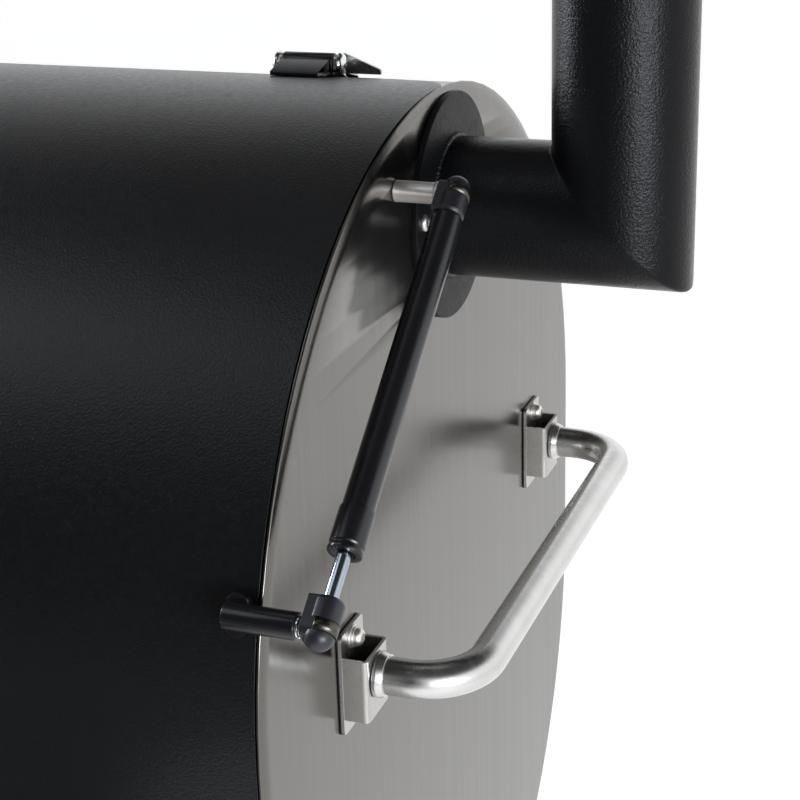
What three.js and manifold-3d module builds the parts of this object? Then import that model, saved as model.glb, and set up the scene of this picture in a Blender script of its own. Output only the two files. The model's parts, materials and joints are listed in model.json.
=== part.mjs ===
// Offset smoker: an oval cooking chamber with stainless end caps and a gas-spring lid, a lower
// firebox on the left end, an elbow chimney and a lifting handle on the right end, and a cart
// with two wheels and two feet.
//
// Millimetres, +Z up, -Y is the front, +X is the chimney end. Every piece is drawn about the
// chamber's axis, with X = 0 on the outer face of the right end cap. The last lines stand the
// group on the ground with its origin at the middle of its footprint.
import * as THREE from "three";
import { mergeVertices } from "three/addons/utils/BufferGeometryUtils.js";
import Module from "manifold-3d";

const wasm = await Module();
wasm.setup();

// ---------------------------------------------------------------- driving dimensions

const GAP = 0.35; // between pieces that seat on each other
const RUN = 0.4; // radial clearance of a turning fit
const ARC = 12; // three.js draws an arc with twice this many flats
const CORNER_ARC = 2; // the same, for small rounded corners
const GROUND = -960; // the ground, below the chamber's axis

// Both drums are ovals: half circles of `radius` above and below straight walls `drop` tall.
const CHAMBER = { left: -900, right: 0, radius: 305, drop: 130, axisZ: 0, sheet: 2, capDepth: 50 };
const FIREBOX = {
  left: -1330.3,
  right: -900.3,
  radius: 200,
  drop: 100,
  axisZ: -175,
  sheet: 2,
  capDepth: 40,
};
const CAP_INSET = 3; // an end cap's flange is this much smaller than the sheet that wraps it
const CAP_LIP = { out: 1, depth: 4 }; // its face stands out past that sheet
const CAP_SEAM = 0.5; // gap between its flush band and the fixed shell
const CAP_SHEET = 2.5;
const SHEET_OVERLAP = 4; // the fixed shells lap over the cap flanges by this much

const LID = { rearY: 50, frontDrop: 60, corner: 42, pivotY: 62, pivotR: 313.2 };
const FIREBOX_LID = { rearY: 30, frontDrop: 30, corner: 20, pivotY: 40, pivotR: 207 };
const LID_SEAM = 4; // open seam between a lid and the fixed shell behind it
const LID_END_GAP = 4.5; // a lid stops this far short of the end cap faces

const HINGE = { fromEnd: 113, knuckle: 36, knuckleR: 7.2, pinR: 4, foot: 8 };
const HINGE_BRACKET = { front: 72, rear: 96, base: 3, ear: 3, gusset: 26, gussetY: 70.2, gussetSheet: 2 };
const HINGE_HEAD = { radius: 7.6, height: 4.5 };
const THROUGH = 50; // half length of a cutting rod that runs right through a hinge

const SPRING_X = 36.5;
const SPRING_TOP = { y: -82.5, z: 262.1 }; // ball centre on the end cap's stud
const SPRING_LOW = { y: -304.25, z: 92.4 }; // ball centre on the lid's carrier
const SPRING = {
  tubeR: 9,
  sleeveR: 9.9,
  sleeveFrom: 210,
  tubeTo: 236,
  rodR: 4,
  rodFrom: 118,
  boreFrom: 100,
};
const SOCKET = { neckR: 8.2, neck: 17, eyeR: 9.6, halfWidth: 9, boreR: 5.6, ballR: 5 };
const STUD = { radius: 6.5, shankR: 3.2, lowerR: 5.4 };
const CARRIER = { radius: 7.1, left: -16.6, right: 23.5, bossX: -12.6, bossR: 7 };

const CHIMNEY = { y: 12, z: 229.8, x: 113.5, radius: 44.1, wall: 2.5, top: 620, flangeR: 72, flange: 4 };
const CHIMNEY_CAP = { radius: 47, thick: 2, pivotOut: 58, lugR: 8, boltR: 4 };

const SIDE_HANDLE = { midY: 4, halfSpan: 188, z: -0.8, out: 74.2, radius: 11.4, bend: 38 };
const BRACKET = { width: 34.6, top: 29.6, bottom: -35.4, sheet: 2 };
const BRACKET_BOX = { width: 31.4, out: 17.9, top: 15.6, bottom: -24.4 };
const COLLAR = { radius: 14.5, length: 4.5 };
const BRACKET_BOLT = { z: 22.5, radius: 6.2, length: 4.6 };

const LID_HANDLE = { halfLength: 260, postInset: 45, out: 58, radius: 12.5, wall: 1.5, z: -26 };
const GRIP_BRACKET = { footWidth: 28, footHeight: 48, sheet: 3, armWidth: 16, armHeight: 18, ring: 4 };
const GAUGE = { tilt: 30, radius: 38, faceR: 34, depth: 16, face: 5, stemR: 3, stem: 105 };

const GRATE = { z: -82, thick: 8, halfWidth: 292, gapToCap: 12, between: 6, slots: 11, border: 16, bar: 14 };
const RAIL = { leg: 22, sheet: 2 };

const THROAT = { halfWidth: 130, bottom: -300, top: -200 }; // opening between firebox and chamber
const DOOR = { rearY: 146, frontY: -146, bottom: -348, top: -112, sheet: 3, hingeY: 156, hingeOut: 8 };
const DOOR_OPENING = { halfWidth: 125, bottom: -330, top: -130 };
const DOOR_HINGE = { radius: 7, pinR: 3, pinHalf: 72, knuckleHalf: 59, lugs: [-70, 60], lug: 10, lugHalf: 4 };
const DAMPER = { z: -230, radius: 48, holeR: 13, ring: 28, sheet: 2, studR: 4 };
const FIRE_GRATE = { z: -352, thick: 8, halfWidth: 176, length: 320, slots: 8 };
const ASH_TRAY = { halfWidth: 118, bottom: -420, top: -374, sheet: 1.5, length: 395, panel: 3 };
const ASH_SLOT_GAP = 3;
const FIRE_HINGE = { lugs: [-998, -1232], knuckles: [-970, -1260], lug: 20, knuckle: 30, radius: 6, pinR: 3 };

const LEG = { size: 40, wall: 2, y: 215, rightX: -110, leftX: -790 };
const WHEEL = { radius: 101.6, width: 44, y: 265, axleR: 8 };
const FOOT = { radius: 25, height: 30 };
const BOTTOM_SHELF = { z: -730, sheet: 2, rim: 24, overhang: 22 };
const FRONT_SHELF = { left: -780, right: -120, z: -98, depth: 215, lip: 25, sheet: 2, gusset: 115 };
const GREASE = { x: -450, halfWidth: 72, halfLength: 90, height: 30, sheet: 1.5, drainR: 12 };
const GREASE_HOLDER = { side: 1, below: 8, ledge: 12 }; // room round the tray, and its ledges

// ---------------------------------------------------------------- finishes

function finish(color, roughness, metalness) {
  return new THREE.MeshStandardMaterial({ color, roughness, metalness });
}
const powderCoat = finish(0x17181a, 0.45, 0.2);
const stainless = finish(0xb9b6b0, 0.3, 1);
const chrome = finish(0xd8dadd, 0.08, 1);
const blackSteel = finish(0x101114, 0.25, 0.6);
const blackPlastic = finish(0x1b1c20, 0.4, 0);
const castIron = finish(0x2a2a2a, 0.7, 0.6);
const galvanised = finish(0x9a9c9e, 0.5, 0.9);
const rubber = finish(0x151515, 0.85, 0);

// ---------------------------------------------------------------- solids

const X = new THREE.Vector3(1, 0, 0);
const Y = new THREE.Vector3(0, 1, 0);
const Z = new THREE.Vector3(0, 0, 1);

function manifoldOf(positions, triangles) {
  return new wasm.Manifold(
    new wasm.Mesh({ numProp: 3, vertProperties: positions, triVerts: new Uint32Array(triangles) }),
  );
}

// A closed three.js geometry as a solid, with its faces turned outwards.
function solid(geometry) {
  const bare = geometry.clone();
  bare.deleteAttribute("normal");
  bare.deleteAttribute("uv");
  const merged = mergeVertices(bare, 1e-4);
  const positions = merged.attributes.position.array;
  const index = merged.index.array;
  const triangles = [];
  for (let i = 0; i < index.length; i += 3) {
    const [a, b, c] = index.slice(i, i + 3);
    if (a !== b && b !== c && c !== a) triangles.push(a, b, c);
  }
  const made = manifoldOf(positions, triangles);
  return made.volume() < 0 ? manifoldOf(positions, triangles.reverse()) : made;
}

const join = (first, ...rest) => rest.reduce((sum, piece) => sum.add(piece), first);
const cut = (first, ...rest) => rest.reduce((left, piece) => left.subtract(piece), first);

function block([x0, x1], [y0, y1], [z0, z1]) {
  const box = new THREE.BoxGeometry(Math.abs(x1 - x0), Math.abs(y1 - y0), Math.abs(z1 - z0));
  return solid(box.translate((x0 + x1) / 2, (y0 + y1) / 2, (z0 + z1) / 2));
}

function rod(from, to, radius, sides = 16) {
  const a = new THREE.Vector3(...from);
  const b = new THREE.Vector3(...to);
  const along = b.clone().sub(a);
  const turn = new THREE.Quaternion().setFromUnitVectors(Y, along.clone().normalize());
  const cylinder = new THREE.CylinderGeometry(radius, radius, along.length(), sides);
  const middle = a.lerp(b, 0.5);
  return solid(cylinder.applyQuaternion(turn).translate(middle.x, middle.y, middle.z));
}

// A profile of [radius, height] points turned about a line from `base` along `direction`.
function turned(profile, base, direction, sides = 16) {
  const lathe = new THREE.LatheGeometry(
    profile.map(([r, h]) => new THREE.Vector2(r, h)),
    sides,
  );
  const turn = new THREE.Quaternion().setFromUnitVectors(Y, direction.clone().normalize());
  return solid(lathe.applyQuaternion(turn).translate(...base));
}

function extrude(shape, from, to, basis, curveSegments = ARC) {
  const low = Math.min(from, to);
  const depth = Math.abs(to - from);
  const geometry = new THREE.ExtrudeGeometry(shape, { depth, bevelEnabled: false, curveSegments });
  return solid(geometry.translate(0, 0, low).applyMatrix4(basis));
}

// An outline drawn in Y and Z and run along X, one drawn in X and Z and run along Y, and one
// drawn in X and Y and run along Z.
const alongX = (shape, from, to, arc) =>
  extrude(shape, from, to, new THREE.Matrix4().makeBasis(Y, Z, X), arc);
const alongY = (shape, from, to) =>
  extrude(shape, -from, -to, new THREE.Matrix4().makeBasis(X, Z, Y.clone().negate()));
const alongZ = (shape, from, to) => extrude(shape, from, to, new THREE.Matrix4());

const outline = (points) => new THREE.Shape(points.map(([u, v]) => new THREE.Vector2(u, v)));

function oval({ drop, axisZ }, radius) {
  const shape = new THREE.Shape();
  shape.absarc(0, axisZ, radius, 0, Math.PI, false);
  shape.lineTo(-radius, axisZ - drop);
  shape.absarc(0, axisZ - drop, radius, Math.PI, 2 * Math.PI, false);
  shape.closePath();
  return shape;
}

const smoker = new THREE.Group();

function piece(name, made, material) {
  const mesh = made.getMesh();
  const positions = new THREE.BufferAttribute(new Float32Array(mesh.vertProperties), 3);
  const geometry = new THREE.BufferGeometry();
  geometry.setAttribute("position", positions);
  geometry.setIndex(new THREE.BufferAttribute(new Uint32Array(mesh.triVerts), 1));
  geometry.computeVertexNormals();
  const node = new THREE.Mesh(geometry, material);
  node.name = name;
  smoker.add(node);
}

// ---------------------------------------------------------------- drums

// Height of a drum's round top over the line at `y`, for a given radius.
const topZ = ({ axisZ }, radius, y) => axisZ + Math.sqrt(radius * radius - y * y);

// Sheet from the lid's rear edge, over the rear and the bottom, up to the lid's lower front edge.
function drumShell(drum, lid) {
  const { radius, drop, axisZ, sheet, capDepth, left, right } = drum;
  const inner = radius - sheet;
  const rear = Math.acos((lid.rearY + LID_SEAM) / radius);
  const frontTop = axisZ - lid.frontDrop - LID_SEAM;
  const shape = new THREE.Shape();
  shape.absarc(0, axisZ, radius, rear, 0, true);
  shape.lineTo(radius, axisZ - drop);
  shape.absarc(0, axisZ - drop, radius, 0, -Math.PI, true);
  shape.lineTo(-radius, frontTop);
  shape.lineTo(-inner, frontTop);
  shape.lineTo(-inner, axisZ - drop);
  shape.absarc(0, axisZ - drop, inner, -Math.PI, 0, false);
  shape.lineTo(inner, axisZ);
  shape.absarc(0, axisZ, inner, 0, rear, false);
  shape.closePath();
  const lap = capDepth - SHEET_OVERLAP;
  return alongX(shape, left + lap, right - lap);
}

// Curved sheet from its rear edge over the front, with its two rear corners rounded.
function drumLid(drum, lid) {
  const { radius, axisZ, sheet, left, right } = drum;
  const inner = radius - sheet;
  const rear = Math.acos(lid.rearY / radius);
  const front = axisZ - lid.frontDrop;
  const shape = new THREE.Shape();
  shape.absarc(0, axisZ, radius, rear, Math.PI, false);
  shape.lineTo(-radius, front);
  shape.lineTo(-inner, front);
  shape.lineTo(-inner, axisZ);
  shape.absarc(0, axisZ, inner, Math.PI, rear, true);
  shape.closePath();
  const ends = [left + LID_END_GAP, right - LID_END_GAP];
  const corners = ends.map((end, side) => {
    const inwards = side === 0 ? 1 : -1;
    const centreX = end + inwards * lid.corner;
    const centreY = lid.rearY - lid.corner;
    const top = axisZ + radius + 1;
    const square = block([end - inwards, centreX], [centreY, lid.rearY + 1], [axisZ, top]);
    const round = rod([centreX, centreY, axisZ - 1], [centreX, centreY, top + 1], lid.corner, 32);
    return cut(square, round);
  });
  return cut(alongX(shape, ...ends), ...corners);
}

// Pressed pan: a flat oval face with a lip round it, and a turned flange. Away from the lid the
// flange stands flush with the fixed shell, and under the lid it is stepped in. `inwards` points
// from its face to the inside of its drum.
function endCap(drum, faceX, inwards, lid) {
  const { radius, axisZ, capDepth } = drum;
  const at = (depth) => faceX + inwards * depth;
  const pan = (ring, from, to) => alongX(oval(drum, ring), at(from), at(to));
  const underLid = (margin) =>
    block(
      [at(-1), at(capDepth + 1)],
      [-2 * radius, lid.rearY + LID_SEAM + margin],
      [axisZ - lid.frontDrop - LID_SEAM - margin, axisZ + 2 * radius],
    );
  const flushDepth = capDepth - SHEET_OVERLAP - CAP_SEAM;
  const flush = cut(pan(radius, 0, flushDepth), underLid(0));
  const behindFlush = cut(
    pan(radius - CAP_SHEET, CAP_SHEET, flushDepth - CAP_SHEET),
    underLid(CAP_SHEET),
  );
  const stepped = pan(radius - CAP_INSET, 0, capDepth);
  const behindStep = pan(radius - CAP_INSET - CAP_SHEET, CAP_SHEET, capDepth + 1);
  const lip = pan(radius + CAP_LIP.out, 0, CAP_LIP.depth);
  return cut(join(stepped, flush, lip), behindStep, behindFlush);
}

function roundedRectangle(halfWidth, bottom, top, corner) {
  const shape = new THREE.Shape();
  shape.absarc(halfWidth - corner, top - corner, corner, 0, Math.PI / 2, false);
  shape.absarc(corner - halfWidth, top - corner, corner, Math.PI / 2, Math.PI, false);
  shape.absarc(corner - halfWidth, bottom + corner, corner, Math.PI, 1.5 * Math.PI, false);
  shape.absarc(halfWidth - corner, bottom + corner, corner, 1.5 * Math.PI, 2 * Math.PI, false);
  shape.closePath();
  return shape;
}

function sharpRectangle(halfWidth, bottom, top) {
  return outline([
    [-halfWidth, bottom],
    [halfWidth, bottom],
    [halfWidth, top],
    [-halfWidth, top],
  ]);
}

const chamberMiddle = (CHAMBER.left + CHAMBER.right) / 2;
const chamberBottom = CHAMBER.axisZ - CHAMBER.drop - CHAMBER.radius;
const fireMiddle = (FIREBOX.left + FIREBOX.right) / 2;

const drain = rod(
  [GREASE.x, 0, chamberBottom - 5],
  [GREASE.x, 0, chamberBottom + 35],
  GREASE.drainR,
  12,
);
const throat = alongX(
  sharpRectangle(THROAT.halfWidth, THROAT.bottom, THROAT.top),
  CHAMBER.left - 10,
  CHAMBER.left + 10,
);
const chimneyBore = rod(
  [-10, CHIMNEY.y, CHIMNEY.z],
  [20, CHIMNEY.y, CHIMNEY.z],
  CHIMNEY.radius - CHIMNEY.wall,
  32,
);

piece("chamber_shell", cut(drumShell(CHAMBER, LID), drain), powderCoat);
piece("end_cap_right", cut(endCap(CHAMBER, CHAMBER.right, -1, LID), chimneyBore), stainless);
piece("end_cap_left", cut(endCap(CHAMBER, CHAMBER.left, 1, LID), throat), stainless);

// ---------------------------------------------------------------- lid and its fittings

const gaugeOut = new THREE.Vector3(
  0,
  -Math.cos(THREE.MathUtils.degToRad(GAUGE.tilt)),
  Math.sin(THREE.MathUtils.degToRad(GAUGE.tilt)),
);
const gaugeBase = gaugeOut.clone().multiplyScalar(CHAMBER.radius + GAP).setX(chamberMiddle);
const gaugePoint = (height) => gaugeBase.clone().addScaledVector(gaugeOut, height).toArray();

const stemHole = rod(gaugePoint(-10), gaugePoint(5), GAUGE.stemR + 1.5, 12);
piece("lid", cut(drumLid(CHAMBER, LID), stemHole), powderCoat);

piece(
  "thermometer_case",
  turned(
    [
      [0, -GAUGE.stem],
      [GAUGE.stemR, -GAUGE.stem],
      [GAUGE.stemR, 0],
      [GAUGE.radius, 0],
      [GAUGE.radius, GAUGE.depth],
      [GAUGE.faceR, GAUGE.depth],
      [GAUGE.faceR, GAUGE.face],
      [0, GAUGE.face],
    ],
    gaugeBase.toArray(),
    gaugeOut,
    32,
  ),
  chrome,
);

function pointer() {
  const tail = 10;
  const length = GAUGE.faceR - 7;
  const needle = new THREE.BoxGeometry(length + tail, 3, 1.6).translate((length - tail) / 2, 0, 0);
  const turn = new THREE.Quaternion().setFromUnitVectors(Z, gaugeOut);
  const place = gaugePoint(GAUGE.face + 3.2);
  const bar = solid(needle.rotateZ(-0.75 * Math.PI).applyQuaternion(turn).translate(...place));
  return join(rod(gaugePoint(GAUGE.face + GAP), gaugePoint(GAUGE.face + 4.4), 4.5, 12), bar);
}
piece("thermometer_pointer", pointer(), blackSteel);

const lidFrontY = -CHAMBER.radius;
const gripY = lidFrontY - LID_HANDLE.out;
const gripEnds = [-1, 1].map((side) => chamberMiddle + side * LID_HANDLE.halfLength);
const gripRod = (radius) =>
  rod([gripEnds[0], gripY, LID_HANDLE.z], [gripEnds[1], gripY, LID_HANDLE.z], radius, 16);
piece(
  "lid_handle",
  cut(gripRod(LID_HANDLE.radius), gripRod(LID_HANDLE.radius - LID_HANDLE.wall)),
  stainless,
);

// A lid handle bracket: a foot plate on the lid and an arm that ends in a ring round the grip.
function gripBracket(x) {
  const { z, radius } = LID_HANDLE;
  const { footWidth, footHeight, sheet, armWidth, armHeight, ring } = GRIP_BRACKET;
  const seat = lidFrontY - GAP;
  const foot = block(
    [x - footWidth / 2, x + footWidth / 2],
    [seat - sheet, seat],
    [z - footHeight / 2, z + footHeight / 2],
  );
  const sides = [x - armWidth / 2, x + armWidth / 2];
  const arm = block(sides, [gripY, seat - sheet / 2], [z - armHeight / 2, z + armHeight / 2]);
  const eye = rod([sides[0], gripY, z], [sides[1], gripY, z], radius + ring, 24);
  const bore = rod([x - armWidth, gripY, z], [x + armWidth, gripY, z], radius + RUN, 24);
  return cut(join(foot, arm, eye), bore);
}
piece("lid_handle_bracket_left", gripBracket(gripEnds[0] + LID_HANDLE.postInset), stainless);
piece("lid_handle_bracket_right", gripBracket(gripEnds[1] - LID_HANDLE.postInset), stainless);

// ---------------------------------------------------------------- lid hinges

const pivotZ = (drum, lid) => drum.axisZ + Math.sqrt(lid.pivotR ** 2 - lid.pivotY ** 2);
const lidPivotZ = pivotZ(CHAMBER, LID);

// A rod on the lid's hinge line, for the knuckle, the pin's bore and the cuts through them.
const onHingeLine = (from, to, radius, sides) =>
  rod([from, LID.pivotY, lidPivotZ], [to, LID.pivotY, lidPivotZ], radius, sides);
const hingeBore = (x) => onHingeLine(x - THROUGH, x + THROUGH, HINGE.pinR + RUN, 16);
const onChamber = (y, lift) => [y, topZ(CHAMBER, CHAMBER.radius, y) + lift];

// Knuckle on the lid: a bored tube with a foot that lies on the lid's rear edge.
function hingeKnuckle(x) {
  const ends = [x - HINGE.knuckle / 2, x + HINGE.knuckle / 2];
  const foot = outline([
    onChamber(LID.rearY - HINGE.foot, GAP),
    onChamber(LID.rearY, GAP),
    [LID.pivotY - HINGE.pinR, lidPivotZ - HINGE.pinR - 0.5],
    [LID.pivotY, lidPivotZ],
    [LID.pivotY - HINGE.pinR, lidPivotZ + HINGE.pinR + 1],
    onChamber(LID.rearY - HINGE.foot, HINGE.pinR),
  ]);
  return cut(join(onHingeLine(...ends, HINGE.knuckleR, 24), alongX(foot, ...ends)), hingeBore(x));
}

// Fixed bracket: two ears on a base strip behind the lid, and a gusset on the outer side.
function hingeBracket(x, outer) {
  const { front, rear, base, ear, gusset, gussetY, gussetSheet } = HINGE_BRACKET;
  const inside = HINGE.knuckle / 2 + GAP;
  const half = inside + ear;
  const strip = outline([
    onChamber(front, GAP),
    onChamber(rear, GAP),
    onChamber(rear, GAP + base),
    onChamber(front, GAP + base),
  ]);
  const earOutline = outline([
    [LID.pivotY - 5, lidPivotZ - 4.5],
    [LID.pivotY + 4, lidPivotZ - 6.8],
    onChamber(front, 0.6),
    onChamber(rear - 2, 0.6),
    onChamber(rear - 2, 4),
    [LID.pivotY + 5, lidPivotZ + 5.5],
    [LID.pivotY - 2, lidPivotZ + 6.5],
  ]);
  const ears = [-1, 1].map((side) => alongX(earOutline, x + side * inside, x + side * half));
  const low = lidPivotZ - 7.6;
  const root = x + outer * (half - 1);
  const tip = x + outer * (half + gusset);
  const wing = outline([
    [root, low],
    [tip, low],
    [tip, low + base],
    [root, lidPivotZ + 6],
  ]);
  const plate = alongY(wing, gussetY, gussetY + gussetSheet);
  return cut(join(alongX(strip, x - half, x + half), ...ears, plate), hingeBore(x));
}

// Pin with a domed head on each end.
function hingePin(x) {
  const half = HINGE.knuckle / 2 + 2 * GAP + HINGE_BRACKET.ear;
  const { radius, height } = HINGE_HEAD;
  const { pinR } = HINGE;
  const profile = [
    [0, -half - height],
    [radius * 0.55, -half - height * 0.85],
    [radius * 0.9, -half - height * 0.45],
    [radius, -half],
    [pinR, -half],
    [pinR, half],
    [radius, half],
    [radius * 0.9, half + height * 0.45],
    [radius * 0.55, half + height * 0.85],
    [0, half + height],
  ];
  return turned(profile, [x, LID.pivotY, lidPivotZ], X, 16);
}

for (const [side, x, outer] of [
  ["right", CHAMBER.right - HINGE.fromEnd, 1],
  ["left", CHAMBER.left + HINGE.fromEnd, -1],
]) {
  piece("hinge_knuckle_" + side, hingeKnuckle(x), blackSteel);
  piece("hinge_bracket_" + side, hingeBracket(x, outer), stainless);
  piece("hinge_pin_" + side, hingePin(x), chrome);
}

// ---------------------------------------------------------------- gas spring

const springTop = new THREE.Vector3(SPRING_X, SPRING_TOP.y, SPRING_TOP.z);
const springLow = new THREE.Vector3(SPRING_X, SPRING_LOW.y, SPRING_LOW.z);
const springLength = springTop.distanceTo(springLow);
const springDown = springLow.clone().sub(springTop).normalize();
const onSpring = (distance) => springTop.clone().addScaledVector(springDown, distance).toArray();

// Ball socket: an eye across the spring, open towards the end cap, and a neck along the spring.
function ballSocket(centre, towards) {
  const at = (distance) => centre.clone().addScaledVector(towards, distance).toArray();
  const { x, y, z } = centre;
  const eye = rod([x - SOCKET.halfWidth, y, z], [x + SOCKET.halfWidth, y, z], SOCKET.eyeR, 20);
  const neck = rod(at(2), at(SOCKET.neck - GAP), SOCKET.neckR, 16);
  const bore = rod([x - 20, y, z], [x + SOCKET.ballR + 1.5, y, z], SOCKET.boreR, 16);
  return cut(join(eye, neck), bore);
}

piece(
  "spring_stud_upper",
  turned(
    [
      [0, GAP],
      [STUD.radius, GAP],
      [STUD.radius, SPRING_X - SOCKET.halfWidth - GAP],
      [STUD.shankR, SPRING_X - SOCKET.halfWidth - GAP],
      [STUD.shankR, SPRING_X - 3.8],
      [SOCKET.ballR * 0.87, SPRING_X - 2.5],
      [SOCKET.ballR, SPRING_X],
      [SOCKET.ballR * 0.87, SPRING_X + 2.5],
      [SOCKET.ballR * 0.5, SPRING_X + 4.3],
      [0, SPRING_X + SOCKET.ballR],
    ],
    [0, SPRING_TOP.y, SPRING_TOP.z],
    X,
    16,
  ),
  stainless,
);
piece("gas_spring_socket_upper", ballSocket(springTop, springDown), blackPlastic);
piece(
  "gas_spring_tube",
  turned(
    [
      [0, SOCKET.neck],
      [SPRING.tubeR, SOCKET.neck],
      [SPRING.tubeR, SPRING.sleeveFrom],
      [SPRING.sleeveR, SPRING.sleeveFrom],
      [SPRING.sleeveR, SPRING.tubeTo],
      [SPRING.rodR + RUN, SPRING.tubeTo],
      [SPRING.rodR + RUN, SPRING.boreFrom],
      [0, SPRING.boreFrom],
    ],
    springTop.toArray(),
    springDown,
    20,
  ),
  blackSteel,
);
piece(
  "gas_spring_rod",
  rod(onSpring(SPRING.rodFrom), onSpring(springLength - SOCKET.neck), SPRING.rodR, 12),
  chrome,
);
piece("gas_spring_socket_lower", ballSocket(springLow, springDown.clone().negate()), blackPlastic);

// Carrier on the lid: a round boss on the sheet with a tube across it, out past the end cap.
function springCarrier() {
  const { y, z } = SPRING_LOW;
  const reach = Math.hypot(y, z);
  const seat = (CHAMBER.radius + GAP) / reach;
  const boss = rod([CARRIER.bossX, y * seat, z * seat], [CARRIER.bossX, y, z], CARRIER.bossR, 20);
  return join(rod([CARRIER.left, y, z], [CARRIER.right, y, z], CARRIER.radius, 20), boss);
}
piece("spring_carrier", springCarrier(), blackSteel);
piece(
  "spring_stud_lower",
  rod(
    [CARRIER.right + GAP, SPRING_LOW.y, SPRING_LOW.z],
    [SPRING_X - SOCKET.halfWidth - GAP, SPRING_LOW.y, SPRING_LOW.z],
    STUD.lowerR,
    6,
  ),
  chrome,
);

// ---------------------------------------------------------------- chimney

// Two round lengths joined by a mitre at 45 degrees, from the flange out and then up.
function elbow(radius, start, top) {
  const { x, y, z } = CHIMNEY;
  const far = 200;
  const lap = 0.05; // the level length runs this far past the mitre, so that the two fuse
  const under = outline([
    [x - far, z + far + lap],
    [x - far, z - far],
    [x + far + lap, z - far],
  ]);
  const over = outline([
    [x - far, z + far],
    [x + far, z - far],
    [x + far, top + far],
    [x - far, top + far],
  ]);
  const level = rod([start, y, z], [x + 2 * radius, y, z], radius, 32);
  const upright = rod([x, y, z - 2 * radius], [x, y, top], radius, 32);
  return join(
    level.intersect(alongY(under, -far, far)),
    upright.intersect(alongY(over, -far, far)),
  );
}

function chimneyPipe() {
  const { x, y, radius, wall, top, flange } = CHIMNEY;
  const start = flange + 2 * GAP;
  const tube = cut(elbow(radius, start, top), elbow(radius - wall, start - 1, top + 1));
  const pivotY = y + CHIMNEY_CAP.pivotOut;
  const lug = join(
    block([x - CHIMNEY_CAP.lugR, x + CHIMNEY_CAP.lugR], [y + radius - 1.5, pivotY], [top - 22, top - 1]),
    rod([x, pivotY, top - 22], [x, pivotY, top - 1], CHIMNEY_CAP.lugR, 16),
    rod([x, pivotY, top - 2], [x, pivotY, top + 9], CHIMNEY_CAP.boltR, 12),
  );
  return join(tube, lug);
}

function chimneyCap() {
  const { x, y, top } = CHIMNEY;
  const { radius, thick, pivotOut, lugR, boltR } = CHIMNEY_CAP;
  const low = top + GAP;
  const pivotY = y + pivotOut;
  const disc = rod([x, y, low], [x, y, low + thick], radius, 32);
  const ear = join(
    block([x - lugR, x + lugR], [y, pivotY], [low, low + thick]),
    rod([x, pivotY, low], [x, pivotY, low + thick], lugR, 16),
  );
  return cut(join(disc, ear), rod([x, pivotY, low - 5], [x, pivotY, low + 9], boltR + RUN, 12));
}

const flangeDisc = rod(
  [GAP, CHIMNEY.y, CHIMNEY.z],
  [GAP + CHIMNEY.flange, CHIMNEY.y, CHIMNEY.z],
  CHIMNEY.flangeR,
  48,
);
piece("chimney_flange", cut(flangeDisc, chimneyBore), powderCoat);
piece("chimney_pipe", chimneyPipe(), powderCoat);
piece("chimney_cap", chimneyCap(), powderCoat);

// ---------------------------------------------------------------- lifting handle on the right end

const armY = [-1, 1].map((side) => SIDE_HANDLE.midY + side * SIDE_HANDLE.halfSpan);
const armStart = BRACKET_BOX.out + 2 * GAP;

const QUARTER_BEND = 0.5523; // a cubic curve's handle for a quarter circle of radius 1

// Round bar along a path of straights and quarter bends.
function sideHandle() {
  const { z, out, radius, bend } = SIDE_HANDLE;
  const path = new THREE.CurvePath();
  const point = (x, y) => new THREE.Vector3(x, y, z);
  const corner = (side) => {
    const y = armY[side];
    const inwards = side === 0 ? 1 : -1;
    const k = bend * (1 - QUARTER_BEND);
    const onArm = point(out - bend, y);
    const onGrip = point(out, y + inwards * bend);
    const pulls = [point(out - k, y), point(out, y + inwards * k)];
    return side === 0
      ? new THREE.CubicBezierCurve3(onArm, pulls[0], pulls[1], onGrip)
      : new THREE.CubicBezierCurve3(onGrip, pulls[1], pulls[0], onArm);
  };
  path.add(new THREE.LineCurve3(point(armStart, armY[0]), point(out - bend, armY[0])));
  path.add(corner(0));
  path.add(new THREE.LineCurve3(point(out, armY[0] + bend), point(out, armY[1] - bend)));
  path.add(corner(1));
  path.add(new THREE.LineCurve3(point(out - bend, armY[1]), point(armStart, armY[1])));
  const section = new THREE.Shape();
  section.absarc(0, 0, radius, 0, 2 * Math.PI, false);
  const bar = new THREE.ExtrudeGeometry(section, { steps: 28, curveSegments: 6, extrudePath: path });
  return solid(bar);
}
piece("side_handle", sideHandle(), stainless);

// Bent-sheet bracket: a foot plate with a bolt tab on top, and a box that is open at its top.
function sideBracket(y) {
  const { width, top, bottom, sheet } = BRACKET;
  const { width: boxWidth, out, top: boxTop, bottom: boxBottom } = BRACKET_BOX;
  const z = SIDE_HANDLE.z;
  const foot = block([GAP, GAP + sheet], [y - width / 2, y + width / 2], [z + bottom, z + top]);
  const box = block([GAP, out], [y - boxWidth / 2, y + boxWidth / 2], [z + boxBottom, z + boxTop]);
  const inside = block(
    [GAP + sheet, out - sheet],
    [y - boxWidth / 2 + sheet, y + boxWidth / 2 - sheet],
    [z + boxBottom + sheet, z + boxTop + 1],
  );
  return join(foot, cut(box, inside));
}

// Loose ring that covers the end of the bar.
function collar(y) {
  const from = armStart;
  const to = armStart + COLLAR.length;
  const { z, radius } = SIDE_HANDLE;
  const ring = rod([from, y, z], [to, y, z], COLLAR.radius, 24);
  return cut(ring, rod([from - 1, y, z], [to + 1, y, z], radius + RUN, 24));
}

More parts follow.
